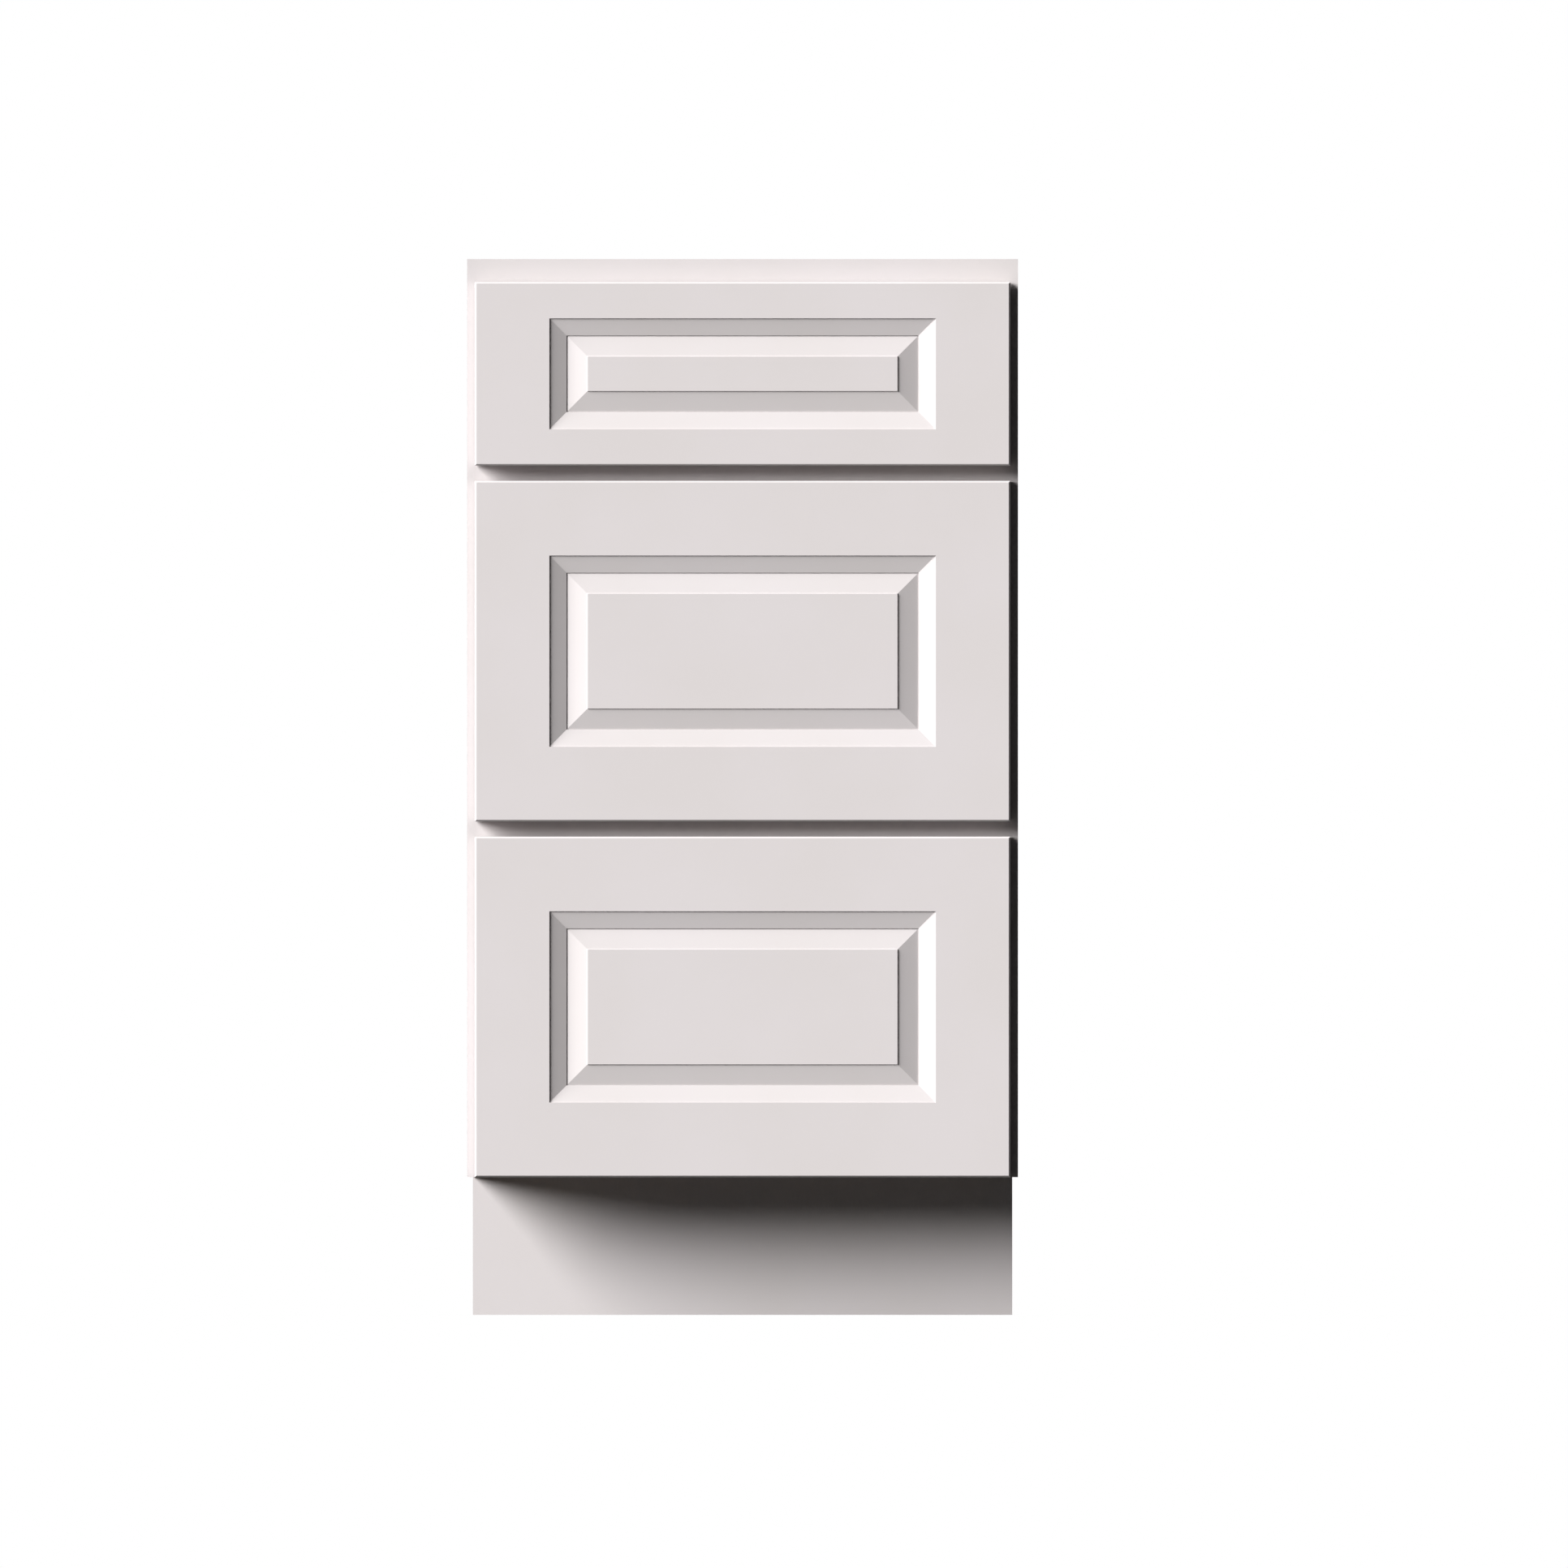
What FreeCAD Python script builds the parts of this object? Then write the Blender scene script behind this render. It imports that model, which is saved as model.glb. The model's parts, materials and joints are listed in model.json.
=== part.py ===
import FreeCAD, Part
import os

import Sketcher
from FreeCAD import Vector

# Face-frame base cabinet with three drawers, in millimetres.
# X runs to the right, Y from the front to the back, Z up. The origin is the middle of
# the footprint, on the floor. The drawer fronts face -Y.
#
# The case is plywood, dadoed together behind a mortised hardwood face frame. Each
# drawer is a half-blind dovetailed box with a cope-and-stick raised-panel front, and
# runs on a pair of full-extension undermount slides.

SIZES = [
    # case
    ("cabinet_width", "457.2", "across the face frame"),
    ("cabinet_height", "876.3", "floor to the top of the frame"),
    ("case_depth", "609.6", "front of the face frame to the back"),
    ("toe_height", "114.3", "floor to the bottom of the face frame"),
    ("toe_recess", "76.2", "front of the frame to the toe kick board"),
    ("ply_thickness", "12.7", "sides, bottom, back and toe kick board"),
    ("dado_depth", "6.35", "how far the bottom and the back enter the sides"),
    ("block_leg", "76.2", "corner block along a wall"),
    ("block_thickness", "19.05", "corner block"),
    ("block_tip", "12.7", "width left at a corner block's cut tips"),
    ("counter_hole_radius", "2.25", "countertop screw hole"),
    ("counter_hole_inset", "25.4", "hole to the walls of its corner"),
    # face frame
    ("frame_thickness", "19.05", "face frame"),
    ("frame_member_width", "38.1", "stiles and rails"),
    ("frame_overhang", "4.7625", "stile's edge past the side panel's face"),
    ("frame_groove_depth", "6.35", "side panel into the stile's back"),
    ("tenon_length", "17.5", "rail tenon"),
    ("tenon_thickness", "6.35", "rail tenon"),
    ("tenon_shoulder", "6.35", "rail's edge to its tenon"),
    ("glue_space", "1.0", "end of a tenon to the end of its mortise"),
    # drawer fronts
    ("front_thickness", "19.05", "stiles and rails of a drawer front"),
    ("front_side_reveal", "6.35", "frame showing beside the fronts"),
    ("front_top_reveal", "19.05", "frame showing above the upper front"),
    ("front_gap", "12.7", "between one front and the next"),
    ("upper_front_height", "152.4", "upper front; the two below share the rest"),
    ("front_stile_width", "76.2", "stile with its sticking"),
    ("shallow_rail_width", "44.45", "rail of the upper front, with its sticking"),
    ("deep_rail_width", "76.2", "rail of the other fronts, with its sticking"),
    ("sticking_width", "14.2875", "sloped moulding on the inner edges"),
    ("sticking_drop", "3.8", "fall of that slope"),
    ("quirk", "0.8", "small square step at each change of slope"),
    ("panel_groove_depth", "9.525", "groove for the panel's tongue"),
    ("tongue_thickness", "6.35", "panel's tongue and the rails' stub tenons"),
    ("panel_float", "1.5", "panel's edge to the bottom of its groove"),
    ("bevel_width", "17.2", "bevel round the panel's field"),
    ("bevel_rise", "3.5", "rise of that bevel"),
    ("eased_edge", "1.3", "chamfer round a front"),
    ("bumper_gap", "1.6", "face frame to the back of a front"),
    ("bumper_radius", "4.75", "bumper pad"),
    ("bumper_thickness", "1.5", "bumper pad"),
    # drawer boxes
    ("box_back_gap", "65.1", "back of a box to the back panel"),
    ("box_wall", "15.875", "sides, front and back"),
    ("shallow_box_top_gap", "17.45", "upper box to the rail over it"),
    ("deep_box_top_gap", "14.275", "lower box to the rail over it; the middle box is as high"),
    ("box_side_gap", "5.125", "box to the edge of its opening"),
    ("bottom_thickness", "6.35", "box bottom"),
    ("bottom_recess", "12.7", "lower edge of the box to its bottom"),
    ("bottom_groove_depth", "6.35", "groove for the box bottom"),
    ("bottom_play", "0.3", "box bottom to the end of its groove"),
    ("dovetail_lap", "4.7625", "wood left over the tails' ends"),
    ("dovetail_pitch", "25.4", "tail to tail, before rounding to whole tails"),
    ("dovetail_slope", "0.25", "flare of a tail for its length, 1 in 4"),
    ("slide_notch_width", "36", "notch in the box back for a slide"),
    # slides
    ("slide_steel", "1.5", "sheet of the slide members"),
    ("channel_width", "21.5", "cabinet rail's and drawer runner's channel"),
    ("channel_height", "12", "depth of both channels"),
    ("channel_lip", "5", "lip turned in from a channel's wall"),
    ("channel_side_gap", "1.5", "box side to the channel"),
    ("rail_wall_height", "12.5", "flange screwed to the frame"),
    ("rail_setback", "3", "front of the frame to the cabinet rail"),
    ("rail_extra_length", "20", "cabinet rail's length over the box's"),
    ("beam_flange_width", "14.5", "middle beam"),
    ("beam_web_thickness", "2", "middle beam"),
    ("beam_web_height", "13", "middle beam between its flanges"),
    ("beam_end_gap", "15.825", "middle beam to the back of the box"),
    ("beam_setback", "1.7", "box front to the middle beam"),
    ("runner_setback", "1", "box front to the drawer runner"),
    ("hook_hole_radius", "3", "hole in the box back for a runner's hook"),
    ("hook_hole_depth", "8", "that hole"),
    ("hook_hole_lift", "6", "underside of the box bottom to that hole"),
    ("hook_play", "0.3", "hook in its hole and off the box back"),
    ("hook_width", "9", "plate that carries the hook"),
    ("roller_radius", "1.9", "slide roller"),
    ("roller_length", "12", "slide roller"),
    ("roller_count", "3", "rollers in one cage"),
    ("roller_play", "0.1", "roller to the steel above and below"),
    ("cage_start", "150", "front of the frame to a roller cage"),
    ("cage_length", "200", "roller cage"),
    ("cage_width", "14", "roller cage"),
    ("cage_thickness", "1.6", "roller cage"),
    ("cage_window_play", "0.15", "roller to the edge of its window"),
    # locking clips and release levers
    ("clip_side_gap", "0.6", "drawer runner to the locking clip"),
    ("clip_width", "25.4", "locking clip"),
    ("clip_length", "54", "locking clip"),
    ("clip_drop", "12", "height of the locking clip under the box bottom"),
    ("clip_wall", "2.5", "locking clip"),
    ("clip_flange_height", "6", "tab against the box front"),
    ("lever_side_play", "0.3", "release lever to the clip's cheeks"),
    ("lever_setback", "30", "box front to the lever's pivot"),
    ("lever_drop", "8", "underside of the box bottom to the pivot"),
    ("lever_half_thickness", "2.5", "lever's arm above its pivot"),
    ("lever_boss", "3.6", "lever's half height at its pivot"),
    ("lever_finger_reach", "27", "pivot to the finger tab's tip"),
    ("lever_finger_drop", "8", "pivot to the finger tab's underside"),
    ("lever_tooth_height", "2.5", "tooth over the lever's arm"),
    ("lever_tooth_length", "3", "tooth along the arm"),
    ("lever_tooth_play", "0.3", "tooth to the runner's lock tab"),
    ("pivot_radius", "1.6", "clip's pivot pin"),
    ("pivot_play", "0.07", "pivot pin in the lever's bore, on the radius"),
    ("lock_tab_reach", "6", "tab on the runner's wall"),
    ("lock_tab_setback", "12", "pivot to the lock tab"),
    ("lock_tab_play", "0.5", "lock tab to the lever's arm and the clip's slot"),
    # rear brackets and screws
    ("bracket_gap", "6", "back of the box to the rear bracket"),
    ("bracket_wall", "3", "bracket's grip round the cabinet rail"),
    ("bracket_plate_thickness", "5", "plate on the back panel"),
    ("bracket_plate_width", "34", "plate on the back panel"),
    ("bracket_plate_height", "36", "plate on the back panel"),
    ("bracket_play", "0.3", "grip to the steel inside it"),
    ("screw_radius", "2", "shank of every screw"),
    ("screw_head_radius", "4.2", "pan head"),
    ("screw_head_height", "2", "pan head"),
    ("screw_play", "0.1", "screw in its hole, on the radius"),
    ("rail_screw_length", "13", "screws of the rails and brackets"),
    ("rail_screw_height", "7", "bottom of the opening to a rail's screw"),
    ("bracket_screw_height", "26", "bottom of the opening to a bracket's screw"),
    ("front_screw_length", "28", "screws of the drawer fronts"),
    ("front_screw_inset", "11.5", "box side to a front's screw"),
    ("front_screw_edge", "50.8", "edges of a deep box to its screws"),
    ("small_round_sides", "8", "sides of a small round, such as a screw or a roller"),
]

# Sizes that follow from the ones above.
LAYOUT = [
    # case and frame
    ("half_width", "size.cabinet_width / 2"),
    ("half_depth", "(size.case_depth + size.bumper_gap + size.front_thickness) / 2"),
    ("front_face_y", "-place.half_depth"),
    ("front_back_y", "place.front_face_y + size.front_thickness"),
    ("frame_front_y", "place.front_back_y + size.bumper_gap"),
    ("frame_middle_y", "place.frame_front_y + size.frame_thickness / 2"),
    ("frame_back_y", "place.frame_front_y + size.frame_thickness"),
    ("case_back_y", "place.half_depth"),
    ("back_front_y", "place.case_back_y - size.ply_thickness"),
    ("side_outer_x", "place.half_width - size.frame_overhang"),
    ("side_inner_x", "place.side_outer_x - size.ply_thickness"),
    ("dado_x", "place.side_inner_x + size.dado_depth"),
    ("opening_x", "place.half_width - size.frame_member_width"),
    ("toe_front_y", "place.frame_front_y + size.toe_recess"),
    ("toe_back_y", "place.toe_front_y + size.ply_thickness"),
    ("deck_top_z", "size.toe_height + size.frame_member_width"),
    ("deck_bottom_z", "place.deck_top_z - size.ply_thickness"),
    # drawer fronts
    ("fronts_height", "size.cabinet_height - size.front_top_reveal - size.toe_height"),
    ("deep_front_height", "(place.fronts_height - size.upper_front_height) / 2 - size.front_gap"),
    ("lower_front_z", "size.toe_height"),
    ("middle_front_z", "place.lower_front_z + place.deep_front_height + size.front_gap"),
    ("upper_front_z", "place.middle_front_z + place.deep_front_height + size.front_gap"),
    ("front_half_width", "place.half_width - size.front_side_reveal"),
    ("front_opening_x", "place.front_half_width - size.front_stile_width"),
    ("sticking_x", "place.front_opening_x + size.sticking_width"),
    ("sticking_edge_depth", "size.quirk + size.sticking_drop"),
    ("tongue_depth", "place.sticking_edge_depth + size.quirk"),
    ("tongue_back_depth", "place.tongue_depth + size.tongue_thickness"),
    ("tongue_x", "place.front_opening_x + size.panel_groove_depth - size.panel_float"),
    ("bevel_top_depth", "place.tongue_depth - size.bevel_rise"),
    ("field_depth", "place.bevel_top_depth - size.quirk"),
    ("field_x", "place.front_opening_x - size.bevel_width"),
    # the rails of the face frame lie behind the gaps, and the openings between them
    ("bottom_rail_z", "size.toe_height + size.frame_member_width / 2"),
    ("lower_rail_z", "place.middle_front_z - size.front_gap / 2"),
    ("upper_rail_z", "place.upper_front_z - size.front_gap / 2"),
    ("top_rail_z", "size.cabinet_height - size.frame_member_width / 2"),
    ("lower_opening_z", "place.deck_top_z"),
    ("middle_opening_z", "place.lower_rail_z + size.frame_member_width / 2"),
    ("upper_opening_z", "place.upper_rail_z + size.frame_member_width / 2"),
    # slides: across from the edge of the opening, and up from its bottom
    ("channel_start", "size.box_side_gap + size.box_wall + size.channel_side_gap"),
    ("channel_end", "place.channel_start + size.channel_width"),
    ("channel_middle", "place.channel_start + size.channel_width / 2"),
    ("roller_space", "2 * (size.roller_radius + size.roller_play)"),
    ("beam_bottom", "size.slide_steel + place.roller_space"),
    ("beam_top", "place.beam_bottom + 2 * size.slide_steel + size.beam_web_height"),
    ("runner_under", "place.beam_top + place.roller_space"),
    ("slide_height", "place.runner_under + size.slide_steel"),
    ("runner_tip", "place.slide_height - size.channel_height"),
    # drawer boxes
    ("box_outer_x", "place.opening_x - size.box_side_gap"),
    ("box_inner_x", "place.box_outer_x - size.box_wall"),
    ("box_lift", "place.slide_height - size.bottom_recess"),
    ("box_inner_y", "place.front_back_y + size.box_wall"),
    ("box_back_y", "place.back_front_y - size.box_back_gap"),
    ("box_length", "place.box_back_y - place.front_back_y"),
    ("upper_opening_top", "place.top_rail_z - size.frame_member_width / 2"),
    ("lower_opening_top", "place.lower_rail_z - size.frame_member_width / 2"),
    ("shallow_space", "place.upper_opening_top - place.upper_opening_z - place.box_lift"),
    ("deep_space", "place.lower_opening_top - place.lower_opening_z - place.box_lift"),
    ("shallow_box_height", "place.shallow_space - size.shallow_box_top_gap"),
    ("deep_box_height", "place.deep_space - size.deep_box_top_gap"),
    ("tail_length", "size.box_wall - size.dovetail_lap"),
    ("tail_flare", "place.tail_length * size.dovetail_slope"),
    ("shallow_tail_count", "round(place.shallow_box_height / size.dovetail_pitch)"),
    ("shallow_tail_pitch", "place.shallow_box_height / place.shallow_tail_count"),
    ("deep_tail_count", "round(place.deep_box_height / size.dovetail_pitch)"),
    ("deep_tail_pitch", "place.deep_box_height / place.deep_tail_count"),
    ("screw_hole_radius", "size.screw_radius + size.screw_play"),
    ("front_screw_x", "place.box_inner_x - size.front_screw_inset"),
    ("front_screw_reach", "size.front_screw_length - size.box_wall"),
    ("rail_screw_reach", "size.rail_screw_length - size.slide_steel"),
    # locking clips
    ("clip_start", "place.channel_end + size.clip_side_gap"),
    ("clip_end", "place.clip_start + size.clip_width"),
    ("clip_bottom", "place.slide_height - size.clip_drop"),
    ("pivot_y", "place.box_inner_y + size.lever_setback"),
    ("pivot_height", "place.slide_height - size.lever_drop"),
    ("lock_tab_y", "place.pivot_y + size.lock_tab_setback"),
    ("arm_top", "place.pivot_height + size.lever_half_thickness"),
    ("lock_tab_bottom", "place.arm_top + size.lock_tab_play"),
    ("bracket_y", "place.box_back_y + size.bracket_gap"),
    ("bracket_screw_across", "size.bracket_plate_width / 2"),
    ("bracket_screw_x", "place.opening_x - place.bracket_screw_across"),
]

# Each drawer: what kind of box it has.
DRAWERS = {"upper": "shallow", "middle": "deep", "lower": "deep"}
FRONT_HEIGHT = {"shallow": "size.upper_front_height", "deep": "place.deep_front_height"}
RAIL_WIDTH = {"shallow": "size.shallow_rail_width", "deep": "size.deep_rail_width"}
BOX_HEIGHT = {"shallow": "place.shallow_box_height", "deep": "place.deep_box_height"}
FRONT_SCREW_HEIGHTS = {
    "shallow": ["place.shallow_box_height / 2"],
    "deep": ["size.front_screw_edge", "place.deep_box_height - size.front_screw_edge"],
}

doc = FreeCAD.newDocument("DrawerBaseCabinet")
size = doc.addObject("Spreadsheet::Sheet", "size")
for row, (alias, number, note) in enumerate(SIZES, 1):
    size.set(f"A{row}", alias)
    size.set(f"B{row}", number)
    size.setAlias(f"B{row}", alias)
    size.set(f"C{row}", note)
doc.recompute()

place = doc.addObject("App::VarSet", "place")
for alias, rule in LAYOUT:
    place.addProperty("App::PropertyFloat", alias, "Layout")
    place.setExpression(alias, rule)
doc.recompute()

nodes = {}


# ------------------------------------------------------------------ how pieces are drawn

def value(expression):
    """The number that an expression has now."""
    return float(size.evalExpression(expression))


def new_body(label, x="0", y="0", z="0"):
    """An empty body whose own origin lies at the given place in the cabinet."""
    body = doc.addObject("PartDesign::Body", label)
    body.Label = label
    for letter, expression in zip("xyz", (x, y, z)):
        body.setExpression(f"Placement.Base.{letter}", expression)
    return body


def origin_feature(body, role):
    return [feature for feature in body.Origin.OriginFeatures if feature.Role == role][0]


def new_sketch(body, name, axis, level):
    """A sketch square to an axis at a level along it.

    Its two directions are the other axes, in the order X, Y, Z. The sketch square to Y
    looks along -Y, so its offset is the level with the other sign.
    """
    planes = {"X": "YZ_Plane", "Y": "XZ_Plane", "Z": "XY_Plane"}
    sketch = body.newObject("Sketcher::SketchObject", name)
    sketch.AttachmentSupport = [(origin_feature(body, planes[axis]), "")]
    sketch.MapMode = "FlatFace"
    offset = f"-({level})" if axis == "Y" else level
    sketch.setExpression("AttachmentOffset.Base.z", offset)
    return sketch


def tie_point(sketch, geometry, point, place_in_sketch):
    """Hold one point of a sketch at a pair of expressions."""
    for kind, expression in zip(("DistanceX", "DistanceY"), place_in_sketch):
        constraint = Sketcher.Constraint(kind, -1, 1, geometry, point, value(expression))
        index = sketch.addConstraint(constraint)
        sketch.setExpression(f"Constraints[{index}]", expression)


def polygon(corners):
    """Draws a closed outline through corners, each a pair of expressions."""
    def draw(sketch):
        first = sketch.GeometryCount
        points = [Vector(value(across), value(up), 0) for across, up in corners]
        following = points[1:] + points[:1]
        sketch.addGeometry([Part.LineSegment(*ends) for ends in zip(points, following)], False)
        count = len(points)
        for index in range(count):
            following_line = first + (index + 1) % count
            sketch.addConstraint(
                Sketcher.Constraint("Coincident", first + index, 2, following_line, 1)
            )
        for index, corner in enumerate(corners, first):
            tie_point(sketch, index, 1, corner)
    return draw


def rectangle(low_across, high_across, low_up, high_up):
    return polygon([
        (low_across, low_up),
        (high_across, low_up),
        (high_across, high_up),
        (low_across, high_up),
    ])


def discs(radius, centres):
    """Draws a circle of one radius at each centre."""
    def draw(sketch):
        for index, centre in enumerate(centres):
            middle = Vector(value(centre[0]), value(centre[1]), 0)
            sketch.addGeometry(Part.Circle(middle, Vector(0, 0, 1), value(radius)), False)
            tie_point(sketch, index, 3, centre)
            constraint = sketch.addConstraint(Sketcher.Constraint("Radius", index, value(radius)))
            sketch.setExpression(f"Constraints[{constraint}]", radius)
    return draw


def small_rounds(radius, centres):
    """Draws an even polygon at each centre, with its corners at the radius."""
    def draw(sketch):
        sides = int(value("size.small_round_sides"))
        turns = [f"360 * ({index} + 0.5) / size.small_round_sides" for index in range(sides)]
        for across, up in centres:
            corners = [
                (f"{across} + {radius} * cos({turn})", f"{up} + {radius} * sin({turn})")
                for turn in turns
            ]
            polygon(corners)(sketch)
    return draw


def pegs(radius, centres):
    """Small round pegs with few sides, which lie inside their circles."""
    return small_rounds(radius, centres)


def bores(radius, centres):
    """Small round holes with few sides, which lie outside their circles."""
    return small_rounds(f"{radius} / cos(180 / size.small_round_sides)", centres)


def extrude(kind, body, name, axis, start, end, draw):
    """Adds (Pad) or removes (Pocket) what draw outlines, from start to end along an axis."""
    adds = kind == "Pad"
    level = start if adds != (axis == "Y") else end
    sketch = new_sketch(body, f"{name}_outline", axis, level)
    draw(sketch)
    volume = 0 if adds else body.Shape.Volume
    feature = body.newObject(f"PartDesign::{kind}", name)
    feature.Profile = sketch
    feature.setExpression("Length", f"({end}) - ({start})")
    doc.recompute()
    if not adds and body.Shape.Volume >= volume:
        raise ValueError(f"{body.Label}: {name} removes nothing")
    return feature


def pad(body, name, axis, start, end, draw):
    return extrude("Pad", body, name, axis, start, end, draw)


def pocket(body, name, axis, start, end, draw):
    return extrude("Pocket", body, name, axis, start, end, draw)


def repeat(body, name, feature, axis, pitch, count):
    """Copies of a feature at a pitch along an axis."""
    pattern = body.newObject("PartDesign::LinearPattern", name)
    pattern.Originals = [feature]
    pattern.Direction = (origin_feature(body, f"{axis}_Axis"), [""])
    pattern.Mode = "Spacing"
    pattern.setExpression("Offset", pitch)
    pattern.setExpression("Occurrences", count)
    body.Tip = pattern
    doc.recompute()
    return pattern


def chamfer(body, name, amount, wanted):
    """Chamfers the edges of the body that wanted picks out."""
    base = body.Tip
    edges = [f"Edge{number}" for number, edge in enumerate(base.Shape.Edges, 1) if wanted(edge)]
    feature = body.newObject("PartDesign::Chamfer", name)
    feature.Base = (base, edges)
    feature.setExpression("Size", amount)
    doc.recompute()
    return feature


def lies_at(edge, **levels):
    """Whether both ends of an edge have the given coordinates, such as y=0."""
    tolerance = 1e-6
    return all(
        abs(getattr(vertex.Point, letter) - level) < tolerance
        for vertex in edge.Vertexes
        for letter, level in levels.items()
    )


def mirrored(source, label, normal=Vector(1, 0, 0), letter="x", level="0"):
    """The mirror image of a piece, by default in the cabinet's middle plane."""
    image = doc.addObject("Part::Mirroring", label)
    image.Label = label
    image.Source = source
    image.Normal = normal
    image.setExpression(f"Base.{letter}", level)
    return image


def node_of(label, pieces):
    """One node that holds several separate pieces."""
    group = doc.addObject("Part::Compound", label)
    group.Label = label
    group.Links = pieces
    nodes[label] = group


def pair(label, body):
    """One node for a left-hand piece and its right-hand image."""
    node_of(label, [body, mirrored(body, f"{label}_right")])


def between(middle, half):
    """The two ends of a span, from its middle and half its length."""
    return f"{middle} - ({half})", f"{middle} + ({half})"


# ------------------------------------------------------------------ face frame

FRAME_RAILS = ["bottom", "lower", "upper", "top"]
TENON_HALF_HEIGHT = "size.frame_member_width / 2 - size.tenon_shoulder"
FRAME_MIDDLE = "size.frame_thickness / 2"


def frame_stiles():
    """Both stiles: four mortises, a groove for the side panel, holes for the rails' screws.

    Drawn from the outer edge inwards, from the frame's face back and from its foot up.
    """
    left = new_body(
        "face_frame_left_stile", "-place.half_width", "place.frame_front_y", "size.toe_height"
    )
    width = "size.frame_member_width"
    height = "size.cabinet_height - size.toe_height"
    pad(left, "stile", "Z", "0", height, rectangle("0", width, "0", "size.frame_thickness"))
    groove = rectangle(
        "size.frame_overhang", "size.frame_overhang + size.ply_thickness",
        "size.frame_thickness - size.frame_groove_depth", "size.frame_thickness",
    )
    pocket(left, "side_groove", "Z", "0", height, groove)
    mortise_start = f"{width} - size.tenon_length - size.glue_space"
    for rail in FRAME_RAILS:
        outline = rectangle(
            *between(FRAME_MIDDLE, "size.tenon_thickness / 2"),
            *between(f"place.{rail}_rail_z - size.toe_height", TENON_HALF_HEIGHT),
        )
        pocket(left, f"{rail}_mortise", "X", mortise_start, width, outline)
    screws = [
        (FRAME_MIDDLE, f"place.{drawer}_opening_z + size.rail_screw_height - size.toe_height")
        for drawer in DRAWERS
    ]
    holes = bores("place.screw_hole_radius", screws)
    pocket(left, "screw_holes", "X", f"{width} - place.rail_screw_reach", width, holes)
    nodes["face_frame_left_stile"] = left
    nodes["face_frame_right_stile"] = mirrored(left, "face_frame_right_stile")


def frame_rail(name):
    """A rail of the face frame with a stub tenon at each end."""
    label = f"face_frame_{name}_rail"
    rail = new_body(label, y="place.frame_front_y", z=f"place.{name}_rail_z")
    half_height = "size.frame_member_width / 2"
    section = rectangle("0", "size.frame_thickness", f"-{half_height}", half_height)
    pad(rail, "rail", "X", "-place.opening_x", "place.opening_x", section)
    tenon = rectangle(
        *between(FRAME_MIDDLE, "size.tenon_thickness / 2"), *between("0", TENON_HALF_HEIGHT)
    )
    reach = "place.opening_x + size.tenon_length"
    pad(rail, "tenons", "X", f"-({reach})", reach, tenon)
    nodes[label] = rail


# ------------------------------------------------------------------ case

def side_panels():
    """Both sides: a toe notch in front, a dado for the bottom and a rabbet for the back."""
    left = new_body("left_side_panel", "-place.side_outer_x")
    thickness = "size.ply_thickness"
    front = "place.frame_back_y - size.frame_groove_depth"
    outline = polygon([
        ("place.toe_back_y", "0"),
        ("place.case_back_y", "0"),
        ("place.case_back_y", "size.cabinet_height"),
        (front, "size.cabinet_height"),
        (front, "size.toe_height"),
        ("place.toe_back_y", "size.toe_height"),
    ])
    pad(left, "panel", "X", "0", thickness, outline)
    cut_start = f"{thickness} - size.dado_depth"
    dado = rectangle(
        "place.frame_back_y", "place.back_front_y", "place.deck_bottom_z", "place.deck_top_z"
    )
    pocket(left, "bottom_dado", "X", cut_start, thickness, dado)
    rabbet = rectangle("place.back_front_y", "place.case_back_y", "0", "size.cabinet_height")
    pocket(left, "back_rabbet", "X", cut_start, thickness, rabbet)
    nodes["left_side_panel"] = left
    nodes["right_side_panel"] = mirrored(left, "right_side_panel")


def bottom_panel():
    panel = new_body("bottom_panel")
    outline = rectangle("-place.dado_x", "place.dado_x", "place.frame_back_y", "place.back_front_y")
    pad(panel, "panel", "Z", "place.deck_bottom_z", "place.deck_top_z", outline)
    nodes["bottom_panel"] = panel


def back_panel():
    """The back, let into the sides' rabbets, with the holes of the rear brackets' screws."""
    panel = new_body("back_panel")
    outline = rectangle("-place.dado_x", "place.dado_x", "0", "size.cabinet_height")
    pad(panel, "panel", "Y", "place.back_front_y", "place.case_back_y", outline)
    centres = [
        (f"{sign} * place.bracket_screw_x", f"place.{drawer}_opening_z + size.bracket_screw_height")
        for drawer in DRAWERS
        for sign in ("-1", "1")
    ]
    depth = "size.rail_screw_length - size.bracket_plate_thickness"
    holes = bores("place.screw_hole_radius", centres)
    pocket(
        panel, "screw_holes", "Y", "place.back_front_y", f"place.back_front_y + {depth}", holes
    )
    nodes["back_panel"] = panel


def toe_kick_board():
    """The board covers the sides' edges and rises between them to carry the bottom."""
    board = new_body("toe_kick_board")
    outline = polygon([
        ("-place.side_outer_x", "0"),
        ("place.side_outer_x", "0"),
        ("place.side_outer_x", "size.toe_height"),
        ("place.side_inner_x", "size.toe_height"),
        ("place.side_inner_x", "place.deck_bottom_z"),
        ("-place.side_inner_x", "place.deck_bottom_z"),
        ("-place.side_inner_x", "size.toe_height"),
        ("-place.side_outer_x", "size.toe_height"),
    ])
    pad(board, "board", "Y", "place.toe_front_y", "place.toe_back_y", outline)
    nodes["toe_kick_board"] = board


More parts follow.
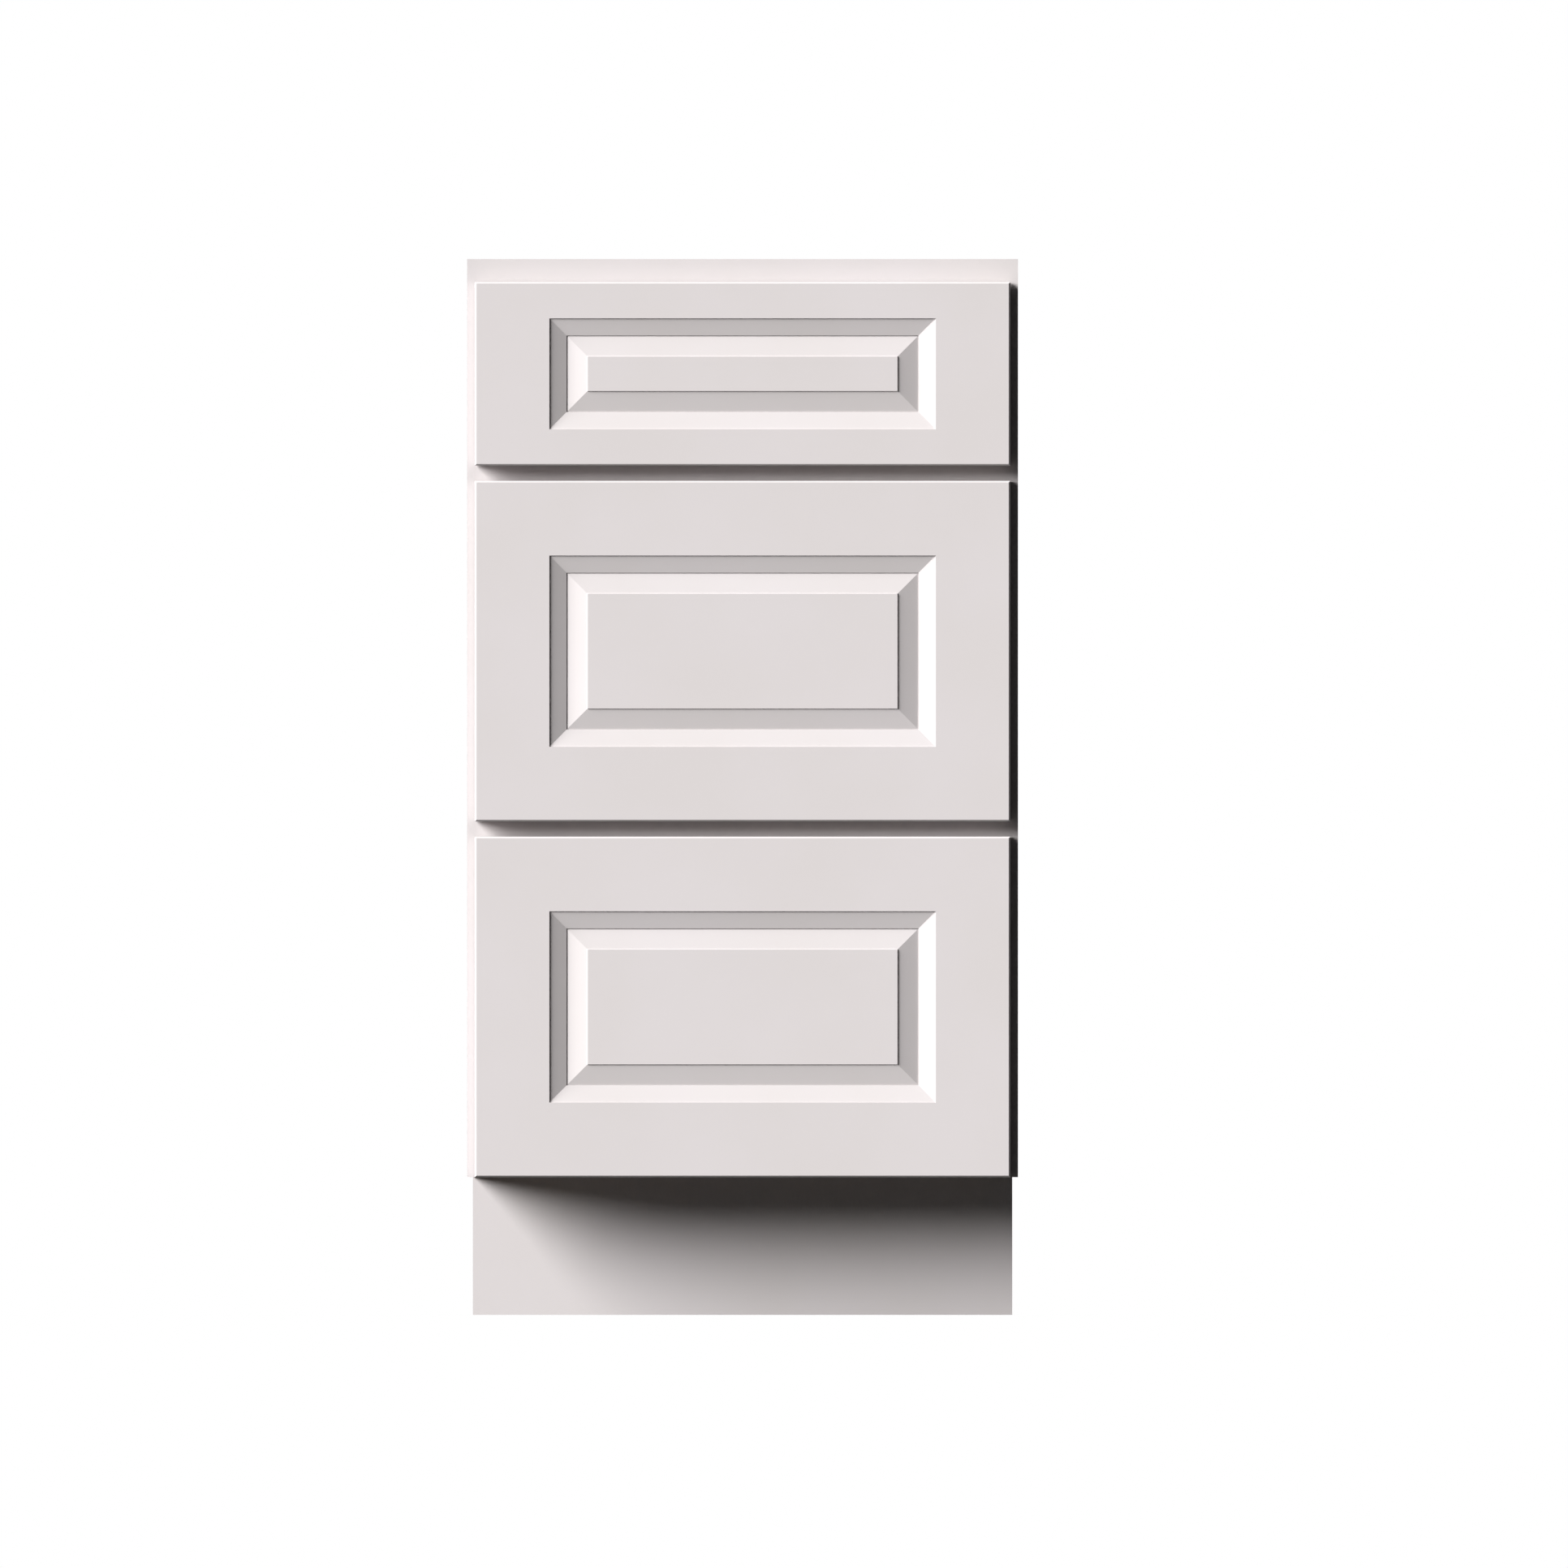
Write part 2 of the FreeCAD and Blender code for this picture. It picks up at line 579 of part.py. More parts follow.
def corner_blocks():
    """Four triangular blocks flush with the top, each with a countertop screw hole."""
    block = new_body("front_left_corner_block", "-place.side_inner_x", "place.frame_back_y")
    outline = polygon([
        ("0", "0"),
        ("size.block_leg", "0"),
        ("size.block_leg", "size.block_tip"),
        ("size.block_tip", "size.block_leg"),
        ("0", "size.block_leg"),
    ])
    bottom = "size.cabinet_height - size.block_thickness"
    pad(block, "block", "Z", bottom, "size.cabinet_height", outline)
    hole = discs("size.counter_hole_radius", [("size.counter_hole_inset",) * 2])
    pocket(block, "counter_hole", "Z", bottom, "size.cabinet_height", hole)
    middle = "(place.frame_back_y + place.back_front_y) / 2"
    rear = mirrored(block, "rear_left_corner_block", Vector(0, 1, 0), "y", middle)
    left = [block, rear]
    right = [mirrored(piece, piece.Label.replace("left", "right")) for piece in left]
    node_of("corner_blocks", left + right)


def bumper_pads():
    """A clear pad on the frame behind each corner of each drawer front."""
    pads = new_body("bumper_pads")
    across = "(place.opening_x + place.front_half_width) / 2"
    inset = "(place.front_half_width - place.opening_x) / 2"
    centres = []
    for drawer, kind in DRAWERS.items():
        low = f"place.{drawer}_front_z + {inset}"
        high = f"place.{drawer}_front_z + {FRONT_HEIGHT[kind]} - {inset}"
        centres += [(f"{sign} * {across}", up) for sign in ("-1", "1") for up in (low, high)]
    start = "place.frame_front_y - size.bumper_thickness"
    pad(pads, "pads", "Y", start, "place.frame_front_y", pegs("size.bumper_radius", centres))
    nodes["bumper_pads"] = pads


# ------------------------------------------------------------------ drawer fronts

def sticking_section(width):
    """Section of a front's stile or rail: (across from its outer edge, depth from its face).

    The face falls by a quirk and a slope to the panel, and the groove for the panel's
    tongue is cut in the edge below.
    """
    slope_start = f"{width} - size.sticking_width"
    groove = f"{width} - size.panel_groove_depth"
    return [
        ("0", "0"),
        (slope_start, "0"),
        (slope_start, "size.quirk"),
        (width, "place.sticking_edge_depth"),
        (width, "place.tongue_depth"),
        (groove, "place.tongue_depth"),
        (groove, "place.tongue_back_depth"),
        (width, "place.tongue_back_depth"),
        (width, "size.front_thickness"),
        ("0", "size.front_thickness"),
    ]


def front_stiles(drawer, kind):
    """Stiles run the whole height of a front and carry the sticking on their inner edge."""
    label = f"{drawer}_drawer_front_stiles"
    bottom = f"place.{drawer}_front_z"
    left = new_body(f"{label}_left", "-place.front_half_width", "place.front_face_y", bottom)
    height = FRONT_HEIGHT[kind]
    pad(left, "stile", "Z", "0", height, polygon(sticking_section("size.front_stile_width")))
    centres = [
        (
            "place.front_half_width - place.front_screw_x",
            f"place.{drawer}_opening_z + place.box_lift + {up} - {bottom}",
        )
        for up in FRONT_SCREW_HEIGHTS[kind]
    ]
    pocket(
        left, "screw_holes", "Y", "size.front_thickness - place.front_screw_reach",
        "size.front_thickness", bores("place.screw_hole_radius", centres),
    )
    top = value(height)
    chamfer(
        left, "eased_edges", "size.eased_edge",
        lambda edge: lies_at(edge, y=0)
        and (lies_at(edge, x=0) or lies_at(edge, z=0) or lies_at(edge, z=top)),
    )
    pair(label, left)


def front_rails(drawer, kind):
    """Rails fit between the stiles: their ends are coped over the stiles' sticking.

    The face runs on over the slope as far as the quirk, the ends are cut back below to
    the stiles' section, and a stub tenon fills the groove.
    """
    label = f"{drawer}_drawer_front_rails"
    bottom = f"place.{drawer}_front_z"
    rail = new_body(f"{label}_bottom", y="place.front_face_y", z=bottom)
    width = RAIL_WIDTH[kind]
    section = [(depth, across) for across, depth in sticking_section(width)]
    pad(rail, "rail", "X", "-place.sticking_x", "place.sticking_x", polygon(section))
    for side, sign in (("left", "-1"), ("right", "1")):
        cope = polygon([
            (f"{sign} * place.sticking_x", "size.quirk"),
            (f"{sign} * place.front_opening_x", "place.sticking_edge_depth"),
            (f"{sign} * place.front_opening_x", "size.front_thickness"),
            (f"{sign} * place.sticking_x", "size.front_thickness"),
        ])
        pocket(rail, f"{side}_cope", "Z", "0", width, cope)
    tenon = rectangle(
        "place.tongue_depth", "place.tongue_back_depth", "0", f"{width} - size.panel_groove_depth"
    )
    pad(rail, "stub_tenons", "X", "-place.tongue_x", "place.tongue_x", tenon)
    chamfer(rail, "eased_edge", "size.eased_edge", lambda edge: lies_at(edge, y=0, z=0))
    middle = f"{bottom} + {FRONT_HEIGHT[kind]} / 2"
    top = mirrored(rail, f"{label}_top", Vector(0, 0, 1), "z", middle)
    node_of(label, [rail, top])


def raising(edge, shoulder, crest):
    """What the face loses along one edge of a panel: (across the edge, depth).

    A flat is left for the tongue, and a bevel rises from it to a quirk round the field.
    """
    return [
        (edge, "place.field_depth"),
        (edge, "place.tongue_depth"),
        (shoulder, "place.tongue_depth"),
        (crest, "place.bevel_top_depth"),
        (crest, "place.field_depth"),
    ]


def front_panel(drawer, kind):
    """The raised panel, with the same profile run along its four edges."""
    label = f"{drawer}_drawer_front_panel"
    panel = new_body(label, y="place.front_face_y", z=f"place.{drawer}_front_z")
    height = FRONT_HEIGHT[kind]
    levels = [
        f"{RAIL_WIDTH[kind]} - size.panel_groove_depth + size.panel_float",
        RAIL_WIDTH[kind],
        f"{RAIL_WIDTH[kind]} + size.bevel_width",
    ]
    outline = rectangle(
        "-place.tongue_x", "place.tongue_x", levels[0], f"{height} - ({levels[0]})"
    )
    pad(panel, "panel", "Y", "place.field_depth", "place.tongue_back_depth", outline)
    for side, sign in (("left", "-1"), ("right", "1")):
        cut = raising(
            f"{sign} * place.tongue_x", f"{sign} * place.front_opening_x", f"{sign} * place.field_x"
        )
        pocket(panel, f"{side}_edge", "Z", "0", height, polygon(cut))
    for side, places in (("bottom", levels), ("top", [f"{height} - ({up})" for up in levels])):
        cut = [(depth, up) for up, depth in raising(*places)]
        pocket(panel, f"{side}_edge", "X", "-place.tongue_x", "place.tongue_x", polygon(cut))
    nodes[label] = panel


# ------------------------------------------------------------------ drawer boxes

def tail(kind, shoulder, tip):
    """A dovetail's outline, seen from the side of the box: the lowest tail of a corner.

    Tails and the gaps between them are equally wide at half their length.
    """
    middle = f"place.{kind}_tail_pitch / 2"
    neck = f"place.{kind}_tail_pitch / 4 - place.tail_flare / 2"
    end = f"place.{kind}_tail_pitch / 4 + place.tail_flare / 2"
    neck_low, neck_high = between(middle, neck)
    end_low, end_high = between(middle, end)
    return polygon([(shoulder, neck_low), (tip, end_low), (tip, end_high), (shoulder, neck_high)])


def corner_tails(kind):
    """The outlines of the tails at the front and the back corner, counted from the front."""
    length = "place.box_length"
    return {
        "front": tail(kind, "size.box_wall", "size.dovetail_lap"),
        "back": tail(kind, f"{length} - size.box_wall", f"{length} - size.dovetail_lap"),
    }


def tail_row(body, name, feature, kind):
    repeat(body, name, feature, "Z", f"place.{kind}_tail_pitch", f"place.{kind}_tail_count")


BOTTOM_GROOVE = ("size.bottom_recess", "size.bottom_recess + size.bottom_thickness")
BOX_BACK_INNER = "place.box_length - size.box_wall"


def box_body(drawer, piece, x="0"):
    """A body of a box, drawn from the box's front, its lower edge and the given x."""
    height = f"place.{drawer}_opening_z + place.box_lift"
    return new_body(f"{drawer}_drawer_{piece}", x, "place.front_back_y", height)


def box_sides(drawer, kind):
    """Sides with dovetails on both ends and a groove along the inner face."""
    side = box_body(drawer, "box_sides_left", "-place.box_outer_x")
    wall = "size.box_wall"
    pad(side, "side", "X", "0", wall, rectangle(wall, BOX_BACK_INNER, "0", BOX_HEIGHT[kind]))
    for corner, outline in corner_tails(kind).items():
        first = pad(side, f"{corner}_tail", "X", "0", wall, outline)
        tail_row(side, f"{corner}_tails", first, kind)
    groove = rectangle("size.dovetail_lap", "place.box_length - size.dovetail_lap", *BOTTOM_GROOVE)
    pocket(side, "bottom_groove", "X", f"{wall} - size.bottom_groove_depth", wall, groove)
    pair(f"{drawer}_drawer_box_sides", side)


def cut_sockets(body, corner, kind):
    """The sockets at both ends of a box's front or back, which the sides' tails fill."""
    outline = corner_tails(kind)[corner]
    spans = {
        "left": ("-place.box_outer_x", "-place.box_inner_x"),
        "right": ("place.box_inner_x", "place.box_outer_x"),
    }
    for side, (start, end) in spans.items():
        first = pocket(body, f"{side}_socket", "X", start, end, outline)
        tail_row(body, f"{side}_sockets", first, kind)


def box_front(drawer, kind):
    front = box_body(drawer, "box_front")
    wall = "size.box_wall"
    outline = rectangle("-place.box_outer_x", "place.box_outer_x", "0", BOX_HEIGHT[kind])
    pad(front, "front", "Y", "0", wall, outline)
    cut_sockets(front, "front", kind)
    reach = "place.box_inner_x + size.bottom_groove_depth"
    groove = rectangle(f"-({reach})", reach, *BOTTOM_GROOVE)
    pocket(front, "bottom_groove", "Y", f"{wall} - size.bottom_groove_depth", wall, groove)
    centres = [
        (f"{sign} * place.front_screw_x", up)
        for sign in ("-1", "1")
        for up in FRONT_SCREW_HEIGHTS[kind]
    ]
    pocket(front, "screw_holes", "Y", "0", wall, bores("place.screw_hole_radius", centres))
    nodes[f"{drawer}_drawer_box_front"] = front


def box_back(drawer, kind):
    """The back, notched over the slides and bored for the hooks of the drawer runners."""
    back = box_body(drawer, "box_back")
    start = BOX_BACK_INNER
    end = "place.box_length"
    outline = rectangle("-place.box_outer_x", "place.box_outer_x", "0", BOX_HEIGHT[kind])
    pad(back, "back", "Y", start, end, outline)
    cut_sockets(back, "back", kind)
    reach = "place.box_inner_x + size.bottom_groove_depth"
    groove = rectangle(f"-({reach})", reach, *BOTTOM_GROOVE)
    pocket(back, "bottom_groove", "Y", start, f"{start} + size.bottom_groove_depth", groove)
    notch_end = "place.box_inner_x - size.slide_notch_width"
    for side, edges in (
        ("left", ("-place.box_inner_x", f"-({notch_end})")),
        ("right", (notch_end, "place.box_inner_x")),
    ):
        notch = rectangle(*edges, "0", "size.bottom_recess")
        pocket(back, f"{side}_slide_notch", "Y", start, end, notch)
    hook_x = "place.opening_x - place.channel_middle"
    hook_up = "size.bottom_recess + size.hook_hole_lift"
    centres = [(f"-({hook_x})", hook_up), (hook_x, hook_up)]
    holes = bores("size.hook_hole_radius", centres)
    pocket(back, "hook_holes", "Y", f"{end} - size.hook_hole_depth", end, holes)
    nodes[f"{drawer}_drawer_box_back"] = back


def box_bottom(drawer):
    panel = box_body(drawer, "box_bottom")
    entry = "size.bottom_groove_depth - size.bottom_play"
    reach = f"place.box_inner_x + {entry}"
    outline = rectangle(
        f"-({reach})", reach, f"size.box_wall - ({entry})", f"{BOX_BACK_INNER} + {entry}"
    )
    pad(panel, "panel", "Z", *BOTTOM_GROOVE, outline)
    nodes[f"{drawer}_drawer_box_bottom"] = panel


def front_screws(drawer, kind):
    """Screws from inside the box into the front's stiles."""
    screws = box_body(drawer, "front_screws_left")
    centres = [("-place.front_screw_x", up) for up in FRONT_SCREW_HEIGHTS[kind]]
    head_face = "size.box_wall"
    head_end = f"{head_face} + size.screw_head_height"
    tip = f"{head_face} - size.front_screw_length"
    pad(screws, "heads", "Y", head_face, head_end, pegs("size.screw_head_radius", centres))
    pad(screws, "shanks", "Y", tip, head_face, pegs("size.screw_radius", centres))
    pair(f"{drawer}_drawer_front_screws", screws)


# ------------------------------------------------------------------ slides

def slide_body(drawer, label):
    """A left-hand body, drawn across from the opening's edge and up from its bottom."""
    return new_body(label, x="-place.opening_x", z=f"place.{drawer}_opening_z")


def channel(web, web_inner, lip_inner, lip):
    """Section of a channel with its lips turned in, from the heights of its four layers."""
    left = "place.channel_start"
    right = "place.channel_end"
    steel = "size.slide_steel"
    lip_reach = "(size.slide_steel + size.channel_lip)"
    return polygon([
        (left, web),
        (right, web),
        (right, lip),
        (f"{right} - {lip_reach}", lip),
        (f"{right} - {lip_reach}", lip_inner),
        (f"{right} - {steel}", lip_inner),
        (f"{right} - {steel}", web_inner),
        (f"{left} + {steel}", web_inner),
        (f"{left} + {steel}", lip_inner),
        (f"{left} + {lip_reach}", lip_inner),
        (f"{left} + {lip_reach}", lip),
        (left, lip),
    ])


def cabinet_rails(drawer):
    """The fixed members: an upright channel with a flange that is screwed to the frame."""
    label = f"{drawer}_drawer_slide_rails"
    rail = slide_body(drawer, f"{label}_left")
    steel = "size.slide_steel"
    start = "place.frame_front_y + size.rail_setback"
    end = f"{start} + place.box_length + size.rail_extra_length"
    lip = "size.channel_height"
    pad(rail, "channel", "Y", start, end, channel("0", steel, f"{lip} - {steel}", lip))
    flange = polygon([
        ("0", "0"),
        ("place.channel_start", "0"),
        ("place.channel_start", steel),
        (steel, steel),
        (steel, "size.rail_wall_height"),
        ("0", "size.rail_wall_height"),
    ])
    pad(rail, "flange", "Y", start, end, flange)
    hole = bores("place.screw_hole_radius", [("place.frame_middle_y", "size.rail_screw_height")])
    pocket(rail, "screw_hole", "X", "0", steel, hole)
    pair(label, rail)


def middle_beams(drawer):
    """The middle members: I-beams that roll between the rails and the runners."""
    label = f"{drawer}_drawer_slide_beams"
    beam = slide_body(drawer, f"{label}_left")
    steel = "size.slide_steel"
    low = "place.beam_bottom"
    high = "place.beam_top"
    flange_left, flange_right = between("place.channel_middle", "size.beam_flange_width / 2")
    web_left, web_right = between("place.channel_middle", "size.beam_web_thickness / 2")
    section = polygon([
        (flange_left, low),
        (flange_right, low),
        (flange_right, f"{low} + {steel}"),
        (web_right, f"{low} + {steel}"),
        (web_right, f"{high} - {steel}"),
        (flange_right, f"{high} - {steel}"),
        (flange_right, high),
        (flange_left, high),
        (flange_left, f"{high} - {steel}"),
        (web_left, f"{high} - {steel}"),
        (web_left, f"{low} + {steel}"),
        (flange_left, f"{low} + {steel}"),
    ])
    start = "place.box_inner_y + size.beam_setback"
    pad(beam, "beam", "Y", start, "place.box_back_y - size.beam_end_gap", section)
    pair(label, beam)


def drawer_runners(drawer):
    """The members that carry the box: a channel turned over, with a hook and a lock tab."""
    label = f"{drawer}_drawer_slide_runners"
    runner = slide_body(drawer, f"{label}_left")
    steel = "size.slide_steel"
    top = "place.slide_height"
    plate_start = "place.box_back_y + size.hook_play"
    end = f"{plate_start} + {steel}"
    section = channel(top, "place.runner_under", f"place.runner_tip + {steel}", "place.runner_tip")
    pad(runner, "channel", "Y", "place.box_inner_y + size.runner_setback", end, section)
    hook_up = f"{top} + size.hook_hole_lift"
    plate_top = f"{hook_up} + size.hook_width / 2"
    plate = rectangle(
        *between("place.channel_middle", "size.hook_width / 2"), "place.runner_under", plate_top
    )
    pad(runner, "hook_plate", "Y", plate_start, end, plate)
    hook = pegs("(size.hook_hole_radius - size.hook_play)", [("place.channel_middle", hook_up)])
    hook_tip = "place.box_back_y - size.hook_hole_depth + size.hook_play"
    pad(runner, "hook", "Y", hook_tip, plate_start, hook)
    tab = rectangle(
        "place.channel_end", "place.channel_end + size.lock_tab_reach",
        "place.lock_tab_bottom", f"place.lock_tab_bottom + {steel}",
    )
    pad(runner, "lock_tab", "Y", "place.lock_tab_y", f"place.lock_tab_y + {steel}", tab)
    pair(label, runner)


def roller_cages(drawer, level, middle):
    """A cage strip with a row of rollers, between a beam and the steel over or under it."""
    label = f"{drawer}_drawer_{level}_roller_cages"
    cage = slide_body(drawer, f"{label}_left")
    pitch = "size.cage_length / size.roller_count"
    start = "place.frame_front_y + size.cage_start"
    first_y = f"{start} + {pitch} / 2"
    low, high = between(middle, "size.cage_thickness / 2")
    width = between("place.channel_middle", "size.cage_width / 2")
    pad(cage, "strip", "Z", low, high, rectangle(*width, start, f"{start} + size.cage_length"))
    play = "size.cage_window_play"
    window = rectangle(
        *between("place.channel_middle", f"size.roller_length / 2 + {play}"),
        *between(first_y, f"size.roller_radius + {play}"),
    )
    first = pocket(cage, "window", "Z", low, high, window)
    repeat(cage, "windows", first, "Y", pitch, "size.roller_count")
    rollers = slide_body(drawer, f"{label}_rollers_left")
    ends = between("place.channel_middle", "size.roller_length / 2")
    first = pad(rollers, "roller", "X", *ends, pegs("size.roller_radius", [(first_y, middle)]))
    repeat(rollers, "rollers", first, "Y", pitch, "size.roller_count")
    left = [cage, rollers]
    right = [mirrored(piece, piece.Label.replace("left", "right")) for piece in left]
    node_of(label, left + right)


# ------------------------------------------------------------------ locking clips

def locking_clips(drawer):
    """A housing under the box, behind its front, with the lever's pin between its cheeks."""
    label = f"{drawer}_drawer_locking_clips"
    clip = slide_body(drawer, f"{label}_left")
    start = "place.box_inner_y"
    end = f"{start} + size.clip_length"
    top = "place.slide_height"
    wall = "size.clip_wall"
    section = polygon([
        ("place.clip_start", "place.clip_bottom"),
        (f"place.clip_start + {wall}", "place.clip_bottom"),
        (f"place.clip_start + {wall}", f"{top} - {wall}"),
        (f"place.clip_end - {wall}", f"{top} - {wall}"),
        (f"place.clip_end - {wall}", "place.clip_bottom"),
        ("place.clip_end", "place.clip_bottom"),
        ("place.clip_end", top),
        ("place.clip_start", top),
    ])
    pad(clip, "housing", "Y", start, end, section)
    tab = rectangle("place.clip_start", "place.clip_end", f"{top} - size.clip_flange_height", top)
    pad(clip, "front_tab", "Y", start, f"{start} + {wall}", tab)
    play = "size.lock_tab_play"
    slot = rectangle(
        f"place.lock_tab_y - {play}", f"place.lock_tab_y + size.slide_steel + {play}",
        "place.clip_bottom", f"place.lock_tab_bottom + size.slide_steel + {play}",
    )
    pocket(clip, "tab_slot", "X", "place.clip_start", f"place.clip_start + {wall}", slot)
    pin = discs("size.pivot_radius", [("place.pivot_y", "place.pivot_height")])
    pad(clip, "pivot_pin", "X", f"place.clip_start + {wall}", f"place.clip_end - {wall}", pin)
    pair(label, clip)


def release_levers(drawer):
    """A lever on the clip's pin: a finger tab in front, and a tooth behind the lock tab.

    Lifting the tab drops the tooth clear, so that the drawer can be lifted off.
    """
    label = f"{drawer}_drawer_release_levers"
    lever = slide_body(drawer, f"{label}_left")
    pivot = "place.pivot_y"
    up = "place.pivot_height"
    arm = "size.lever_half_thickness"
    boss = "size.lever_boss"
    finger = f"{pivot} - size.lever_finger_reach"
    tooth_start = "place.lock_tab_y + size.slide_steel + size.lever_tooth_play"
    tooth_end = f"{tooth_start} + size.lever_tooth_length"
    tooth_top = "place.arm_top + size.lever_tooth_height"
    outline = polygon([
        (finger, f"{up} - size.lever_finger_drop"),
        (f"{pivot} - {boss} / 2", f"{up} - {boss}"),
        (f"{pivot} + {boss} / 2", f"{up} - {boss}"),
        (tooth_end, f"{up} - {arm}"),
        (tooth_end, tooth_top),
        (tooth_start, tooth_top),
        (tooth_start, "place.arm_top"),
        (f"{pivot} + {boss}", "place.arm_top"),
        (f"{pivot} + {boss} / 2", f"{up} + {boss}"),
        (f"{pivot} - {boss} / 2", f"{up} + {boss}"),
        (finger, f"{up} - size.lever_finger_drop + {arm}"),
    ])
    cheek = "(size.clip_wall + size.lever_side_play)"
    ends = (f"place.clip_start + {cheek}", f"place.clip_end - {cheek}")
    pad(lever, "lever", "X", *ends, outline)
    bore = discs("size.pivot_radius + size.pivot_play", [(pivot, up)])
    pocket(lever, "pivot_bore", "X", *ends, bore)
    pair(label, lever)


# ------------------------------------------------------------------ brackets and screws

def rear_bracket(drawer):
    """A plastic bracket on the back panel that grips the flange of a cabinet rail."""
    bracket = slide_body(drawer, f"{drawer}_rear_bracket_left")
    wall = "size.bracket_wall"
    play = "size.bracket_play"
    steel = "size.slide_steel"
    inner = f"{steel} + {play}"
    flange_top = f"size.rail_wall_height + {play}"
    grip = polygon([
        (f"-{wall}", "0"),
        ("0", "0"),
        ("0", flange_top),
        (inner, flange_top),
        (inner, inner),
        (f"{inner} + {wall}", inner),
        (f"{inner} + {wall}", f"{flange_top} + {wall}"),
        (f"-{wall}", f"{flange_top} + {wall}"),
    ])
    pad(bracket, "grip", "Y", "place.bracket_y", "place.back_front_y", grip)
    plate_start = "place.back_front_y - size.bracket_plate_thickness"
    plate = rectangle(
        f"-{wall}", f"size.bracket_plate_width - {wall}", "0", "size.bracket_plate_height"
    )
    pad(bracket, "plate", "Y", plate_start, "place.back_front_y", plate)
    centre = ("place.bracket_screw_across", "size.bracket_screw_height")
    hole = bores("place.screw_hole_radius", [centre])
    pocket(bracket, "screw_hole", "Y", plate_start, "place.back_front_y", hole)
    return bracket


def slide_screws_of(drawer):
    """One screw from a cabinet rail into the stile, and one from the bracket into the back."""
    rail_screw = slide_body(drawer, f"{drawer}_rail_screw_left")
    steel = "size.slide_steel"
    centre = [("place.frame_middle_y", "size.rail_screw_height")]
    head_end = f"{steel} + size.screw_head_height"
    tip = "-place.rail_screw_reach"
    pad(rail_screw, "head", "X", steel, head_end, pegs("size.screw_head_radius", centre))
    pad(rail_screw, "shank", "X", tip, steel, pegs("size.screw_radius", centre))
    bracket_screw = slide_body(drawer, f"{drawer}_bracket_screw_left")
    centre = [("place.bracket_screw_across", "size.bracket_screw_height")]
    face = "place.back_front_y - size.bracket_plate_thickness"
    head_start = f"{face} - size.screw_head_height"
    tip = f"{face} + size.rail_screw_length"
    pad(bracket_screw, "head", "Y", head_start, face, pegs("size.screw_head_radius", centre))
    pad(bracket_screw, "shank", "Y", face, tip, pegs("size.screw_radius", centre))
    return [rail_screw, bracket_screw]


def brackets_and_screws():
    left_brackets = [rear_bracket(drawer) for drawer in DRAWERS]
    left_screws = [screw for drawer in DRAWERS for screw in slide_screws_of(drawer)]
    for label, left in (("slide_rear_brackets", left_brackets), ("slide_screws", left_screws)):
        right = [mirrored(piece, piece.Label.replace("left", "right")) for piece in left]
        node_of(label, left + right)


# ------------------------------------------------------------------ the whole cabinet

frame_stiles()
for rail_name in FRAME_RAILS:
    frame_rail(rail_name)
side_panels()
bottom_panel()
back_panel()
toe_kick_board()
corner_blocks()
bumper_pads()
brackets_and_screws()
BASE_ROLLERS = "size.slide_steel + place.roller_space / 2"
TOP_ROLLERS = "place.beam_top + place.roller_space / 2"
for drawer_name, box_kind in DRAWERS.items():
    front_stiles(drawer_name, box_kind)
    front_rails(drawer_name, box_kind)
    front_panel(drawer_name, box_kind)
    box_front(drawer_name, box_kind)
    box_back(drawer_name, box_kind)
    box_sides(drawer_name, box_kind)
    box_bottom(drawer_name)
    front_screws(drawer_name, box_kind)
    cabinet_rails(drawer_name)
    middle_beams(drawer_name)
    drawer_runners(drawer_name)
    roller_cages(drawer_name, "base", BASE_ROLLERS)
    roller_cages(drawer_name, "top", TOP_ROLLERS)
    locking_clips(drawer_name)
    release_levers(drawer_name)
doc.recompute()

for item in doc.Objects:
    if "Invalid" in item.State or "Error" in item.State:
        raise ValueError(f"{item.Label} did not build: {item.State}")
for label, item in nodes.items():
    if item.Shape.isNull() or not item.Shape.isValid():
        raise ValueError(f"{label} has no valid shape")

os.makedirs("parts", exist_ok=True)
for label, item in nodes.items():
    item.Shape.exportStep(f"parts/{label}.step")
print(f"{len(nodes)} nodes, {sum(len(item.Shape.Solids) for item in nodes.values())} solids")
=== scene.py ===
# %% [markdown]
# # A painted base cabinet with three drawers
#
# The frame that is loaded here is a finished cabinet, cut and joined at its real size.
# Nothing in this lesson changes a board. It gives every piece its surface, swaps the
# smallest fittings for finely shaped ones, and sets up a plain studio. The lengths are
# in metres, with X to the right, Y from the front to the back and Z up.

# %% Load the cabinet
import math

